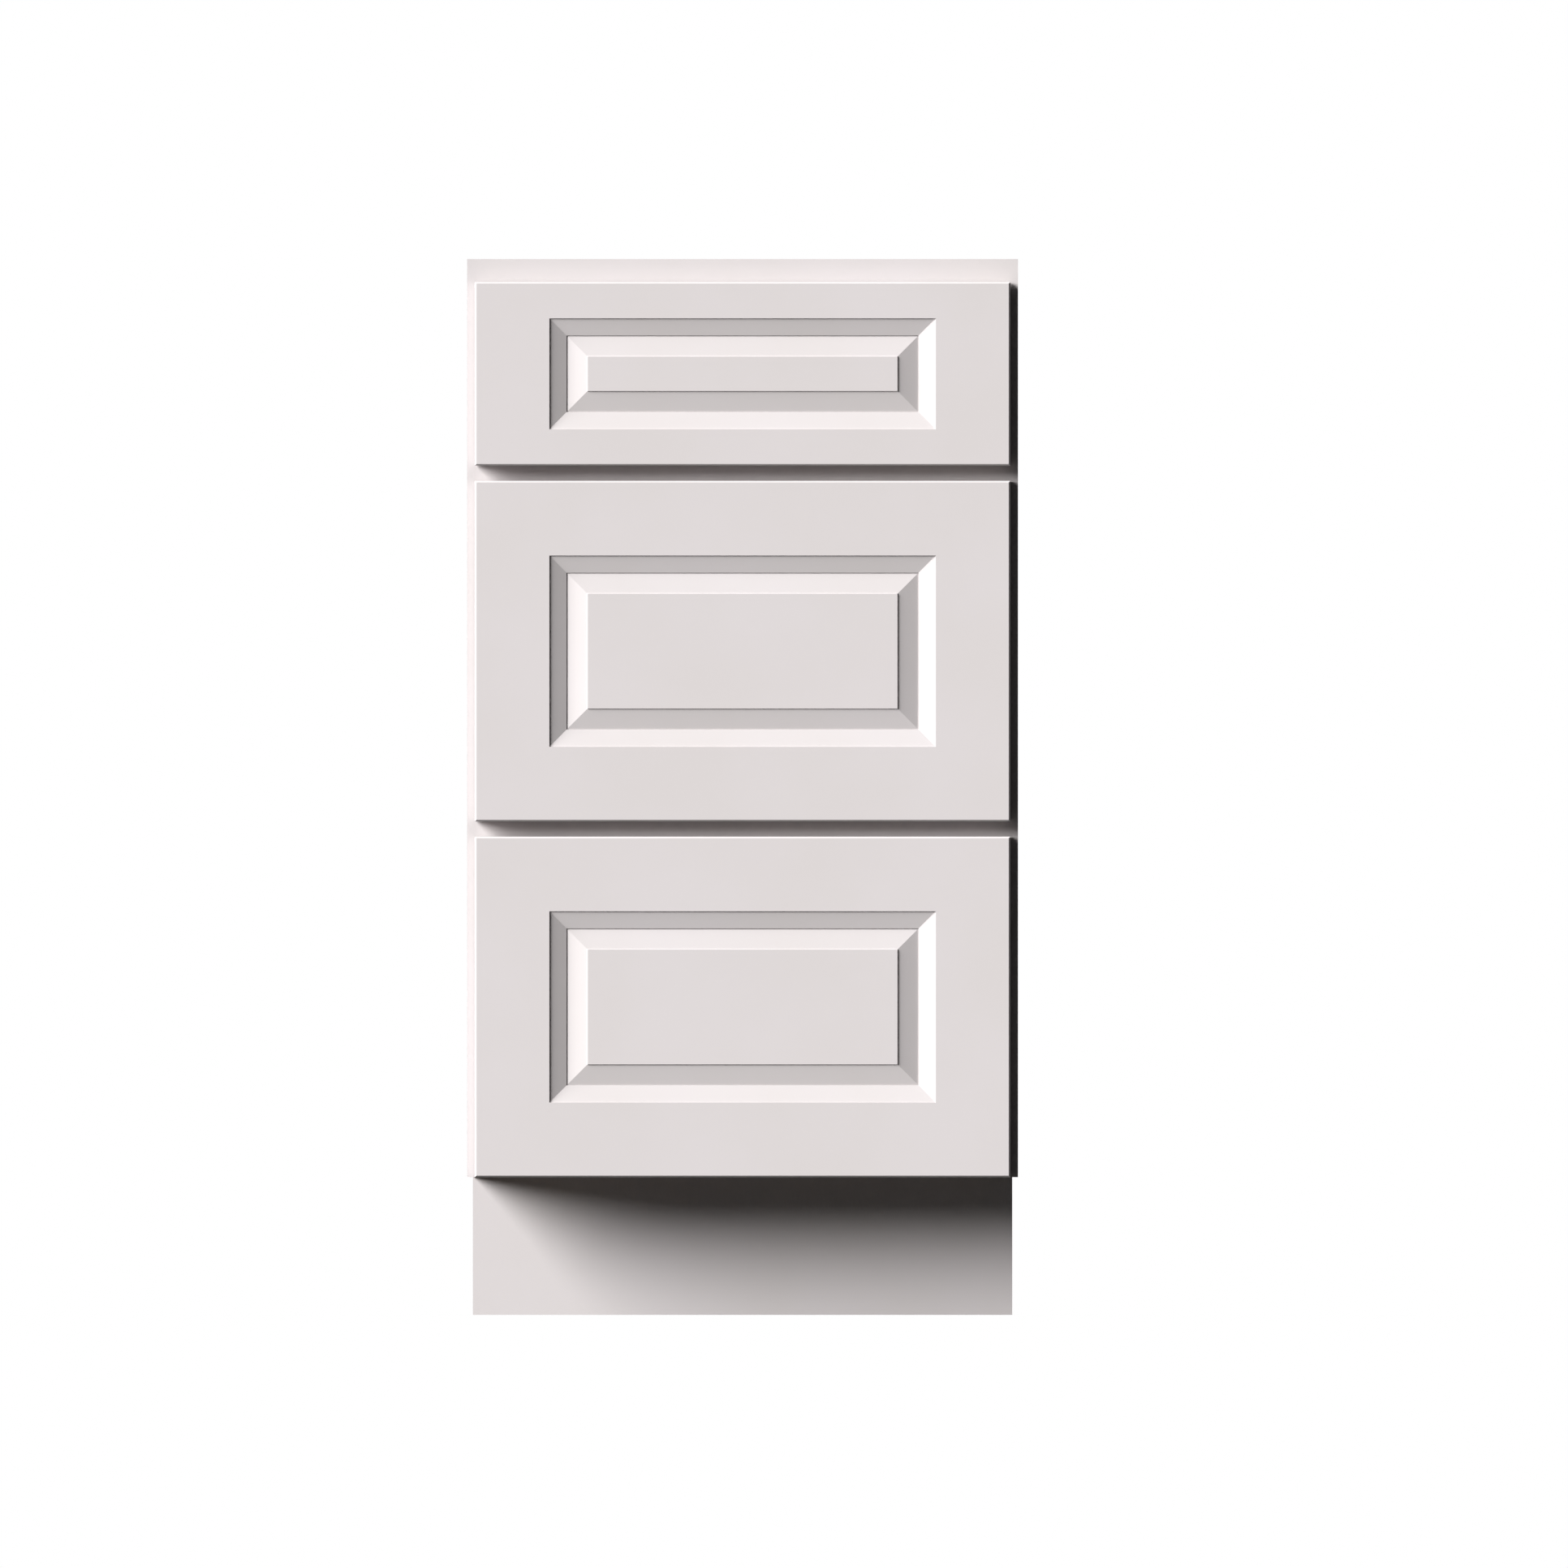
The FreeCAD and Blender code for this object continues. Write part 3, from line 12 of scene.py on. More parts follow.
import bmesh
import bpy
from mathutils import Matrix, Vector
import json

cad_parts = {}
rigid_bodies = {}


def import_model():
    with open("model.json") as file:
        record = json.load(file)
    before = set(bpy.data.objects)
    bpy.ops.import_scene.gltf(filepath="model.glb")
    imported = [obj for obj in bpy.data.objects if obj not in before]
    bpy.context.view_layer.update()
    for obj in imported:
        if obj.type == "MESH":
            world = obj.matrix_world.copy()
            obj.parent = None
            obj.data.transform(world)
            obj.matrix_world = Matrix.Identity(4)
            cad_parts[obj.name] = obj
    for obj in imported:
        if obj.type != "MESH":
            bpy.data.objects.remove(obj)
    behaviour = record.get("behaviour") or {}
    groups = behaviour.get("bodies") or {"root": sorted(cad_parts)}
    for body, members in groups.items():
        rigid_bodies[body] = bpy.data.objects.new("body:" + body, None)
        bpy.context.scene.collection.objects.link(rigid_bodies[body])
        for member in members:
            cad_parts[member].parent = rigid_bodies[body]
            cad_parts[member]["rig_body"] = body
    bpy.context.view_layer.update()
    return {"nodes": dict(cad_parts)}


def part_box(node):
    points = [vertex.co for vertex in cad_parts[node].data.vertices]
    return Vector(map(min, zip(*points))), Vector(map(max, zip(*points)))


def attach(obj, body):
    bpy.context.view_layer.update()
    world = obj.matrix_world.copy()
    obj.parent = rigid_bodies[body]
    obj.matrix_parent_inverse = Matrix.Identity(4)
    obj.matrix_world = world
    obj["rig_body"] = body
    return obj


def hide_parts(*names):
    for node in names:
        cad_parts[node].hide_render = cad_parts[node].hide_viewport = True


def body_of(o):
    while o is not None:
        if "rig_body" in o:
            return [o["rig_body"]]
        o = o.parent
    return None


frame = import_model()
nodes = frame["nodes"]
DRAWERS = ("upper", "middle", "lower")
MM = 0.001
print(len(nodes), "pieces of the cabinet")

# %% [markdown]
# ## A short way to write shader nodes
#
# A finish in Blender is a graph of small nodes. Each could be made and wired in five
# lines, but a page of that hides the idea of the finish. One helper makes a node, sets
# its options and fills its sockets, either with a number or with a wire.

# %% Node helpers
def add_node(tree, kind, sockets=None, **options):
    """A shader node with its options set and its sockets filled or wired."""
    node = tree.nodes.new("ShaderNode" + kind)
    for option, value in options.items():
        setattr(node, option, value)
    for socket, value in (sockets or {}).items():
        if isinstance(value, bpy.types.NodeSocket):
            tree.links.new(value, node.inputs[socket])
        else:
            node.inputs[socket].default_value = value
    return node


def calculate(tree, operation, *values):
    """The result of a Math node."""
    return add_node(tree, "Math", dict(enumerate(values)), operation=operation).outputs[0]


def mix_colours(tree, factor, first, second):
    """The colour that lies between two colours."""
    sockets = {"Factor": factor, 6: first, 7: second}
    return add_node(tree, "Mix", sockets, data_type="RGBA").outputs[2]


def spread(tree, value, low, high, new_low=0.0, new_high=1.0):
    """A value taken from one range to another, and held within it."""
    sockets = {0: value, 1: low, 2: high, 3: new_low, 4: new_high}
    return add_node(tree, "MapRange", sockets).outputs[0]


def linear(red, green, blue):
    """A colour as a screen shows it, 0 to 255, as the light that it stands for."""
    def channel(level):
        part = level / 255
        return part / 12.92 if part <= 0.04045 else ((part + 0.055) / 1.055) ** 2.4
    return (channel(red), channel(green), channel(blue), 1.0)


print("white paint as light:", [round(part, 3) for part in linear(223, 217, 217)])

# %% [markdown]
# ## Where a finish gets its place from
#
# Wood and plywood are solid stuff, so their pattern has to run through a board and turn
# its corners. Flat images would show seams there. Object coordinates give every point
# of a board its real place in metres, and the face's own direction tells end grain from
# long grain. Both ride along when a drawer slides.

# %% Start a finish
NOISE_RANGE = (0.3, 0.7)
NOISE_CORE = (0.35, 0.65)
FACING_RANGE = (0.6, 0.8)


def start_finish(name, **shader_values):
    """A new material: its tree, its shader and the place of each point in metres."""
    material = bpy.data.materials.new(name)
    material.use_nodes = True
    tree = material.node_tree
    shader = tree.nodes["Principled BSDF"]
    for socket, value in shader_values.items():
        shader.inputs[socket.replace("_", " ")].default_value = value
    place = add_node(tree, "TexCoord").outputs["Object"]
    return material, tree, shader, place


def stretched(tree, place, scale):
    """The place, with each axis multiplied by its own number."""
    return add_node(tree, "Mapping", {"Vector": place, "Scale": scale}).outputs[0]


def noise(tree, place, scale, detail=2.0, distortion=0.0):
    """Cloudy noise from about 0.3 to 0.7, with so many clouds to the metre."""
    sockets = {"Vector": place, "Scale": scale, "Detail": detail, "Distortion": distortion}
    return add_node(tree, "TexNoise", sockets).outputs["Fac"]


def facing(tree, axis):
    """1 where a face looks along an axis, either way, and 0 where it looks across."""
    normal = add_node(tree, "NewGeometry").outputs["Normal"]
    along = add_node(tree, "SeparateXYZ", {0: normal}).outputs["XYZ".index(axis)]
    return spread(tree, calculate(tree, "ABSOLUTE", along), *FACING_RANGE)


def raise_surface(tree, shader, height, depth):
    """Bump from a height between 0 and 1, over a depth in metres."""
    sockets = {"Height": height, "Distance": depth, "Strength": 1.0}
    bump = add_node(tree, "Bump", sockets)
    tree.links.new(bump.outputs[0], shader.inputs["Normal"])


# %% [markdown]
# ## The paint
#
# The frame, the fronts and the toe board are sprayed with a linen-white satin lacquer.
# Sprayed lacquer isn't quite smooth: it dries with a faint orange peel, about a
# millimetre from crest to crest. A flat colour would look like paper, and a strong bump
# like leather. Very shallow bump, with the gloss drifting a little, is enough.

# %% Satin paint
LINEN_WHITE = linear(221, 215, 215)
LINEN_SHADE = linear(219, 213, 212)
SHADES_PER_METRE = 9
GLOSS_PER_METRE = 45
SATIN = (0.38, 0.46)
PEEL_PER_METRE = 900
PEEL_DEPTH = 0.006 * MM


def lacquer_colour(tree, place):
    """Linen white that drifts a little from place to place."""
    clouds = spread(tree, noise(tree, place, SHADES_PER_METRE, 4), *NOISE_CORE)
    return mix_colours(tree, clouds, LINEN_WHITE, LINEN_SHADE)


def lacquer_surface(tree, shader, place):
    """A satin gloss that drifts too, over a faint orange peel."""
    patches = noise(tree, place, GLOSS_PER_METRE, 3)
    tree.links.new(spread(tree, patches, *NOISE_RANGE, *SATIN), shader.inputs["Roughness"])
    raise_surface(tree, shader, noise(tree, place, PEEL_PER_METRE, 2), PEEL_DEPTH)


def satin_paint(name):
    material, tree, shader, place = start_finish(name, IOR=1.45, Specular_IOR_Level=0.15)
    tree.links.new(lacquer_colour(tree, place), shader.inputs["Base Color"])
    lacquer_surface(tree, shader, place)
    return material


paint = satin_paint("satin_linen_paint")
print(paint.name, len(paint.node_tree.nodes), "nodes")

# %% [markdown]
# ## Maple
#
# The drawer boxes are clear-coated maple. A tree's rings are cylinders round its pith,
# and a board is a slice through them. So the rings are made first, round an axis that
# leans a little from the board's length, and the slice draws its own arches and
# straight grain. Where the saw cuts across the fibres, as on the dovetails, the same
# rings show as darker end grain.

# %% Maple
MAPLE_PALE = linear(229, 204, 166)
MAPLE_DARK = linear(207, 174, 130)
MAPLE_END = linear(188, 150, 106)
RINGS_PER_METRE = 62
STREAKS_PER_METRE = 420
STREAK_RANGE = (0.32, 0.68)
FIGURE_PER_METRE = 26
RING_SHARE, STREAK_SHARE, FIGURE_SHARE = 0.38, 0.34, 0.24
FIBRE_STRETCH = 0.03
PITH = (0.11, 0.07, 0.0)
PORES_PER_METRE = 900
PORE_DEPTH = 0.02 * MM
TURN_TO_LENGTH = {
    "X": (0.05, math.pi / 2, 0.0),
    "Y": (math.pi / 2, 0.05, 0.0),
    "Z": (0.05, 0.03, 0.0),
}


def maple(name, length_axis):
    """Maple whose fibres run along one axis of the cabinet."""
    material, tree, shader, place = start_finish(
        name, IOR=1.48, Coat_Weight=0.25, Coat_Roughness=0.3
    )
    turned = add_node(tree, "Mapping", {
        "Vector": place,
        "Rotation": TURN_TO_LENGTH[length_axis],
        "Location": PITH,
    }).outputs[0]
    fibres = stretched(tree, turned, (1, 1, FIBRE_STRETCH))
    ring_sockets = {
        "Vector": fibres,
        "Scale": RINGS_PER_METRE,
        "Distortion": 3.5,
        "Detail": 3.0,
        "Detail Scale": 1.2,
    }
    rings = add_node(
        tree, "TexWave", ring_sockets,
        wave_type="RINGS", rings_direction="Z", wave_profile="SAW",
    ).outputs["Fac"]
    streaks = spread(tree, noise(tree, fibres, STREAKS_PER_METRE, 5), *STREAK_RANGE)
    figure = spread(tree, noise(tree, fibres, FIGURE_PER_METRE, 3), *NOISE_CORE)
    tone = calculate(tree, "MULTIPLY", streaks, STREAK_SHARE)
    tone = calculate(tree, "MULTIPLY_ADD", rings, RING_SHARE, tone)
    tone = calculate(tree, "MULTIPLY_ADD", figure, FIGURE_SHARE, tone)
    colour = mix_colours(tree, tone, MAPLE_PALE, MAPLE_DARK)
    end_colour = mix_colours(tree, tone, MAPLE_DARK, MAPLE_END)
    colour = mix_colours(tree, facing(tree, length_axis), colour, end_colour)
    tree.links.new(colour, shader.inputs["Base Color"])
    tree.links.new(spread(tree, tone, 0, 1, 0.36, 0.5), shader.inputs["Roughness"])
    raise_surface(tree, shader, noise(tree, fibres, PORES_PER_METRE, 3), PORE_DEPTH)
    return material


maple_lengthwise = maple("maple_along_the_drawer", "Y")
maple_crosswise = maple("maple_across_the_drawer", "X")
print("maple for the boxes:", maple_lengthwise.name, maple_crosswise.name)

# %% [markdown]
# ## Birch plywood
#
# Plywood is a stack of veneers, each turned a quarter against the last. The broad
# faces show one calm sheet of birch, and the edges show the stack: pale long grain,
# then brown end grain, over and over. Both come from the same place in metres, and the
# direction of the face picks between them.

# %% Birch plywood
BIRCH_PALE = linear(226, 202, 162)
BIRCH_DARK = linear(206, 176, 132)
VENEER_PALE = linear(216, 190, 148)
VENEER_BROWN = linear(158, 118, 78)
VENEER = 1.41 * MM
BIRCH_STRETCH = FIBRE_STRETCH * 1.4
BIRCH_STREAKS_PER_METRE = 380
WAVES_PER_METRE = 22
WAVE_SHARE, BIRCH_STREAK_SHARE = 0.55, 0.4
FLECKS_PER_METRE = 1600
BIRCH_GRAIN_DEPTH = 0.015 * MM


def birch_colour(tree, place, thickness_axis, length_axis):
    """The colour of plywood, and a grain from 0 to 1 for its bump."""
    scale = tuple(BIRCH_STRETCH if axis == length_axis else 1 for axis in "XYZ")
    fibres = stretched(tree, place, scale)
    waves = spread(tree, noise(tree, fibres, WAVES_PER_METRE, 4, 1.2), 0.34, 0.66)
    streaks = spread(tree, noise(tree, fibres, BIRCH_STREAKS_PER_METRE, 5), *STREAK_RANGE)
    tone = calculate(tree, "MULTIPLY", streaks, BIRCH_STREAK_SHARE)
    tone = calculate(tree, "MULTIPLY_ADD", waves, WAVE_SHARE, tone)
    face = mix_colours(tree, tone, BIRCH_PALE, BIRCH_DARK)
    across = add_node(tree, "SeparateXYZ", {0: place}).outputs["XYZ".index(thickness_axis)]
    layer = calculate(tree, "PINGPONG", across, VENEER)
    brown = spread(tree, layer, 0.45 * VENEER, 0.55 * VENEER)
    fleck = spread(tree, noise(tree, place, FLECKS_PER_METRE, 2), 0.4, 0.7, 0.0, 0.35)
    edge = mix_colours(tree, brown, VENEER_PALE, VENEER_BROWN)
    edge = mix_colours(tree, fleck, edge, VENEER_BROWN)
    return mix_colours(tree, facing(tree, thickness_axis), edge, face), streaks


def birch(name, thickness_axis, length_axis):
    material, tree, shader, place = start_finish(
        name, IOR=1.48, Coat_Weight=0.2, Coat_Roughness=0.35
    )
    colour, grain = birch_colour(tree, place, thickness_axis, length_axis)
    tree.links.new(colour, shader.inputs["Base Color"])
    tree.links.new(spread(tree, grain, 0, 1, 0.4, 0.52), shader.inputs["Roughness"])
    raise_surface(tree, shader, grain, BIRCH_GRAIN_DEPTH)
    return material


birch_back = birch("birch_plywood_back", "Y", "Z")
birch_flat = birch("birch_plywood_flat", "Z", "Y")
birch_block = birch("birch_corner_blocks", "Z", "X")
print("plywood:", birch_back.name, birch_flat.name, birch_block.name)

# %% [markdown]
# ## Sides that are painted on one face only
#
# The two side panels are plywood with paint on the outer face, where a neighbour or a
# wall may leave them in view, and clear birch inside. One material can do both: it
# asks how far a point lies from the middle of the cabinet, and paints what lies
# outermost.

# %% Half-painted sides
PAINT_BEGINS = 0.5 * MM
PAINT_COVERS = 0.3 * MM


def painted_ply(name, outer_x):
    """Birch plywood painted where it reaches the outer face of the case."""
    material, tree, shader, place = start_finish(name, IOR=1.45)
    wood = birch_colour(tree, place, "X", "Z")[0]
    across = add_node(tree, "SeparateXYZ", {0: place}).outputs["X"]
    distance = calculate(tree, "ABSOLUTE", across)
    painted = spread(tree, distance, outer_x - PAINT_BEGINS, outer_x - PAINT_COVERS)
    colour = mix_colours(tree, painted, wood, lacquer_colour(tree, place))
    tree.links.new(colour, shader.inputs["Base Color"])
    lacquer_surface(tree, shader, place)
    return material


side_outer_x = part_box("right_side_panel")[1].x
side_ply = painted_ply("side_plywood_painted_outside", side_outer_x)
print("sides are painted beyond x =", round(side_outer_x, 5))

# %% [markdown]
# ## Zinc-plated steel
#
# Drawer slides are rolled from zinc-plated sheet. Rolling leaves fine lines along the
# sheet, and the plating clouds a little, bluish in places. Noise drawn out along the
# slide makes both. Plain grey metal would read as chrome.

# %% Slide steel
ZINC_PALE = linear(206, 209, 211)
ZINC_BLUE = linear(186, 192, 199)
CLOUDS_PER_METRE = 38
LINES_PER_METRE = 2600
LINE_STRETCH = 0.02
ROLLING_DEPTH = 0.003 * MM


def zinc_plate(name, drawn_along, roughness=(0.26, 0.42)):
    """Plated steel with rolling lines along one axis."""
    material, tree, shader, place = start_finish(name, Metallic=1.0)
    scale = tuple(LINE_STRETCH if axis == drawn_along else 1 for axis in "XYZ")
    lines = noise(tree, stretched(tree, place, scale), LINES_PER_METRE, 3)
    clouds = spread(tree, noise(tree, place, CLOUDS_PER_METRE, 4), *NOISE_CORE)
    colour = mix_colours(tree, clouds, ZINC_PALE, ZINC_BLUE)
    tree.links.new(colour, shader.inputs["Base Color"])
    gloss = spread(tree, lines, *NOISE_RANGE, *roughness)
    tree.links.new(gloss, shader.inputs["Roughness"])
    raise_surface(tree, shader, lines, ROLLING_DEPTH)
    return material


slide_steel = zinc_plate("zinc_plated_slide", "Y")
screw_steel = zinc_plate("zinc_plated_screw", None, (0.3, 0.38))
print("metals:", slide_steel.name, screw_steel.name)

# %% [markdown]
# ## Moulded plastics
#
# Clips, levers, brackets and cages come out of moulds that were etched to a fine
# grain, so that fingers and flow marks don't show. They differ in colour and in how
# deep that grain is, so one function makes them all.

# %% Plastics
GRAIN_PER_METRE = 2200
WEAR_PER_METRE = 120
WEAR = 0.86
GLOSS_DRIFT = 0.05


def moulded(name, colour, roughness, grain_depth):
    """Plastic with the fine grain of an etched mould."""
    material, tree, shader, place = start_finish(name, IOR=1.49)
    clouds = spread(tree, noise(tree, place, WEAR_PER_METRE, 3), *NOISE_CORE, 0.0, 0.5)
    worn = tuple(part * WEAR for part in colour[:3]) + (1.0,)
    tree.links.new(mix_colours(tree, clouds, colour, worn), shader.inputs["Base Color"])
    grain = noise(tree, place, GRAIN_PER_METRE, 2)
    gloss = spread(
        tree, grain, *NOISE_RANGE, roughness - GLOSS_DRIFT, roughness + GLOSS_DRIFT
    )
    tree.links.new(gloss, shader.inputs["Roughness"])
    raise_surface(tree, shader, grain, grain_depth)
    return material


clip_plastic = moulded("clip_plastic", linear(168, 170, 174), 0.48, 0.02 * MM)
lever_plastic = moulded("lever_plastic", linear(92, 95, 101), 0.45, 0.02 * MM)
bracket_plastic = moulded("bracket_plastic", linear(206, 206, 201), 0.5, 0.02 * MM)
cage_plastic = moulded("cage_plastic", linear(216, 215, 204), 0.38, 0.01 * MM)
plastics = (clip_plastic, lever_plastic, bracket_plastic, cage_plastic)
print("plastics:", *[plastic.name for plastic in plastics])

# %% [markdown]
# ## Clear bumpers
#
# Behind each corner of each front sits a soft clear dot. Through true glass such a thin
# dot would only show its own shadow. The real ones are a little milky, so most of the
# light comes back from inside, and only a part passes through.

# %% Clear soft plastic
HAZE_PER_METRE = 700
HAZE = (0.16, 0.3)
DIMPLES_PER_METRE = 1500
DIMPLE_DEPTH = 0.01 * MM


def clear_plastic(name):
    material, tree, shader, place = start_finish(
        name, Base_Color=linear(232, 235, 233), Transmission_Weight=0.3, IOR=1.42
    )
    haze = spread(tree, noise(tree, place, HAZE_PER_METRE, 3), *NOISE_RANGE, *HAZE)
    tree.links.new(haze, shader.inputs["Roughness"])
    raise_surface(tree, shader, noise(tree, place, DIMPLES_PER_METRE, 2), DIMPLE_DEPTH)
    return material


bumper_plastic = clear_plastic("clear_bumper_plastic")
print("bumpers:", bumper_plastic.name)

# %% [markdown]
# ## Dress the cabinet's own pieces
#
# Every piece that keeps its own shape now gets its finish. The names tell what a piece
# is, so a short list of name endings is enough, and the loop stops if one is left out.

# %% Hand out the finishes
FINISH_OF = {
    "side_panel": side_ply,
    "back_panel": birch_back,
    "box_bottom": birch_flat,
    "bottom_panel": birch_flat,
    "corner_blocks": birch_block,
    "box_sides": maple_lengthwise,
    "box_front": maple_crosswise,
    "box_back": maple_crosswise,
    "slide_rails": slide_steel,
    "slide_beams": slide_steel,
    "slide_runners": slide_steel,
    "roller_cages": cage_plastic,
    "locking_clips": clip_plastic,
    "release_levers": lever_plastic,
    "rear_brackets": bracket_plastic,
    "screws": screw_steel,
    "bumper_pads": bumper_plastic,
}
PAINTED = ("stile", "stiles", "rail", "rails", "front_panel", "toe_kick_board")

for name, piece in nodes.items():
    finish = next((mat for ending, mat in FINISH_OF.items() if name.endswith(ending)), None)
    if finish is None and name.endswith(PAINTED):
        finish = paint
    if finish is None:
        raise ValueError(f"{name} has no finish")
    piece.data.materials.clear()
    piece.data.materials.append(finish)
print("dressed", len(nodes), "pieces")

# %% [markdown]
# ## Soften the edges
#
# No real edge is a knife edge: wood is sanded, plastic is drafted and sheet metal is
# bent. A hair's breadth of bevel catches the light along each edge. It is a modifier,
# so the piece under it stays as it was cut. The weld comes first, because the loaded
# faces aren't joined at their seams, and flat triangles are merged so that the bevel
# only meets true edges.
#
# The painted stiles and rails stay out. They were sanded flush across their joints and
# painted as one, so a bevel there would draw a line at every joint that the picture
# doesn't have. Their outer edges are eased already, as they were cut.

# %% Bevel every edge a little
EDGE_WIDTH = {"wood": 0.35 * MM, "steel": 0.2 * MM, "plastic": 0.3 * MM}
SEAM = 0.002 * MM
FLAT_WITHIN = math.radians(0.5)
EDGE_FROM = math.radians(25)


def soften(piece, width):
    weld = piece.modifiers.new("join_seams", "WELD")
    weld.merge_threshold = SEAM
    flat = piece.modifiers.new("merge_flat_faces", "DECIMATE")
    flat.decimate_type = "DISSOLVE"
    flat.angle_limit = FLAT_WITHIN
    bevel = piece.modifiers.new("sanded_edges", "BEVEL")
    bevel.width = width
    bevel.segments = 2
    bevel.limit_method = "ANGLE"
    bevel.angle_limit = EDGE_FROM
    bevel.harden_normals = True


def stuff_of(name):
    if name.endswith(("slide_rails", "slide_beams", "slide_runners")):
        return "steel"
    if name.endswith(("cages", "clips", "levers", "brackets")):
        return "plastic"
    return "wood"


def flush_jointed(name):
    return nodes[name].data.materials[0] == paint and not name.endswith("front_panel")


softened = [name for name in nodes if not flush_jointed(name)]
for name in softened:
    soften(nodes[name], EDGE_WIDTH[stuff_of(name)])
print("softened the edges of", len(softened), "pieces")

# %% [markdown]
# ## Find the small fittings
#
# Screws, bumper dots and rollers are too small to be cut finely with the boards, so they
# come as plain eight-sided blanks. Each blank says where its fitting sits, how big it is
# and which way it points, and nothing more is needed. One piece holds all the blanks of
# a kind, so it is first taken apart into its loose solids.

# %% Take a piece apart
def loose_solids(shape):
    """The vertices of each solid in a shape that doesn't touch the others."""
    bmesh.ops.remove_doubles(shape, verts=shape.verts[:], dist=SEAM)
    seen = set()
    solids = []
    for start in shape.verts:
        if start in seen:
            continue
        seen.add(start)
        solid = [start]
        for vert in solid:
            for edge in vert.link_edges:
                other = edge.other_vert(vert)
                if other not in seen:
                    seen.add(other)
                    solid.append(other)
        solids.append(solid)
    return solids


def extent(points):
    """The lowest and the highest corner of some points."""
    low = Vector([min(point[axis] for point in points) for axis in range(3)])
    high = Vector([max(point[axis] for point in points) for axis in range(3)])
    return low, high


def blanks(name):
    """The corners of every loose solid of a piece."""
    shape = bmesh.new()
    shape.from_mesh(nodes[name].data)
    found = [[vert.co.copy() for vert in solid] for solid in loose_solids(shape)]
    shape.free()
    return found


print(len(blanks("slide_screws")), "slide screws,", len(blanks("bumper_pads")), "bumpers")

# %% [markdown]
# ## Turn round shapes
#
# Most small fittings are turned or moulded round, so one function makes them all. It
# takes a profile, a list of radius and height pairs, and sweeps it round Z.

# %% A lathe
TURN_SIDES = 24


def ring(shape, radius_at, height):
    """A ring of vertices. radius_at gives the radius at each angle."""
    ring_verts = []
    for side in range(TURN_SIDES):
        angle = 2 * math.pi * side / TURN_SIDES
        radius = radius_at(angle)
        spot = (radius * math.cos(angle), radius * math.sin(angle), height)
        ring_verts.append(shape.verts.new(spot))
    return ring_verts


def skin(shape, first, second):
    """Faces between two rings with as many corners."""
    for side in range(len(first)):
        after = (side + 1) % len(first)
        shape.faces.new((first[side], first[after], second[after], second[side]))


def turn(shape, profile, cap_start=True, cap_end=True):
    """A turned solid round Z, from (radius, height) pairs."""
    rings = [ring(shape, lambda angle, r=radius: r, height) for radius, height in profile]
    for first, second in zip(rings, rings[1:]):
        skin(shape, first, second)
    if cap_start:
        shape.faces.new(rings[0][::-1])
    if cap_end:
        shape.faces.new(rings[-1])
    return rings


print("a turned ring has", TURN_SIDES, "sides")

# %% [markdown]
# ## Screws
#
# The slides, the brackets and the drawer fronts are held by zinc-plated pan-head wood
# screws. The head is a low dome with a cross recess whose walls close in as they go
# down, so that the driver centres itself. The recess is drawn as a twelve-cornered
# outline in the head's flat top, and the flat between the outline and the dome is filled.

# %% A head with a cross recess
RECESS_REACH = 0.55
RECESS_HALF_WIDTH = 0.14
RECESS_CLOSING = 0.45
RECESS_DEPTH = 0.75
DOME = ((1.0, 0.0), (1.0, 0.35), (0.95, 0.62), (0.84, 0.85), (0.7, 1.0))


def cross_outline(reach, half_width):
    """The twelve corners of a cross."""
    arm = [(reach, -half_width), (reach, half_width), (half_width, half_width)]
    quarters = [math.pi / 2 * quarter for quarter in range(4)]
    return [
        (x * math.cos(a) - y * math.sin(a), x * math.sin(a) + y * math.cos(a))
        for a in quarters for x, y in arm
    ]


def recessed_head(shape, radius, height):
    """A pan head over Z = 0, open below, with a cross recess. Gives its lowest ring."""
    profile = [(radius * part, height * rise) for part, rise in DOME]
    rings = turn(shape, profile, cap_start=False, cap_end=False)
    outline = cross_outline(radius * RECESS_REACH, radius * RECESS_HALF_WIDTH)
    rim = [shape.verts.new((x, y, height)) for x, y in outline]
    inner = [(x * RECESS_CLOSING, y * RECESS_CLOSING) for x, y in outline]
    sunk_to = height * (1 - RECESS_DEPTH)
    bottom = [shape.verts.new((x, y, sunk_to)) for x, y in inner]
    skin(shape, rim, bottom)
    shape.faces.new(bottom)
    loops = []
    for loop in (rings[-1], rim):
        pairs = zip(loop, loop[1:] + loop[:1])
        loops += [shape.edges.get(pair) or shape.edges.new(pair) for pair in pairs]
    bmesh.ops.triangle_fill(shape, use_beauty=True, edges=loops)
    return rings[0]


print("the recess has", len(cross_outline(1, RECESS_HALF_WIDTH)), "corners")

# %% [markdown]
# A thread is a ridge that climbs one pitch in each turn. On the lathe's rings this is a
# wave on the radius that depends on the height and the angle together. The thread of a
# wood screw is coarse, and near the tip the whole shank tapers to a point.

# %% A threaded shank
THREAD_PITCH = 1.8 * MM
THREAD_DEPTH = 0.5 * MM
THREAD_STEEPNESS = 2.2
RINGS_PER_TURN = 5
TIP_LENGTH = 3.5 * MM
TIP_SHARE = 0.08


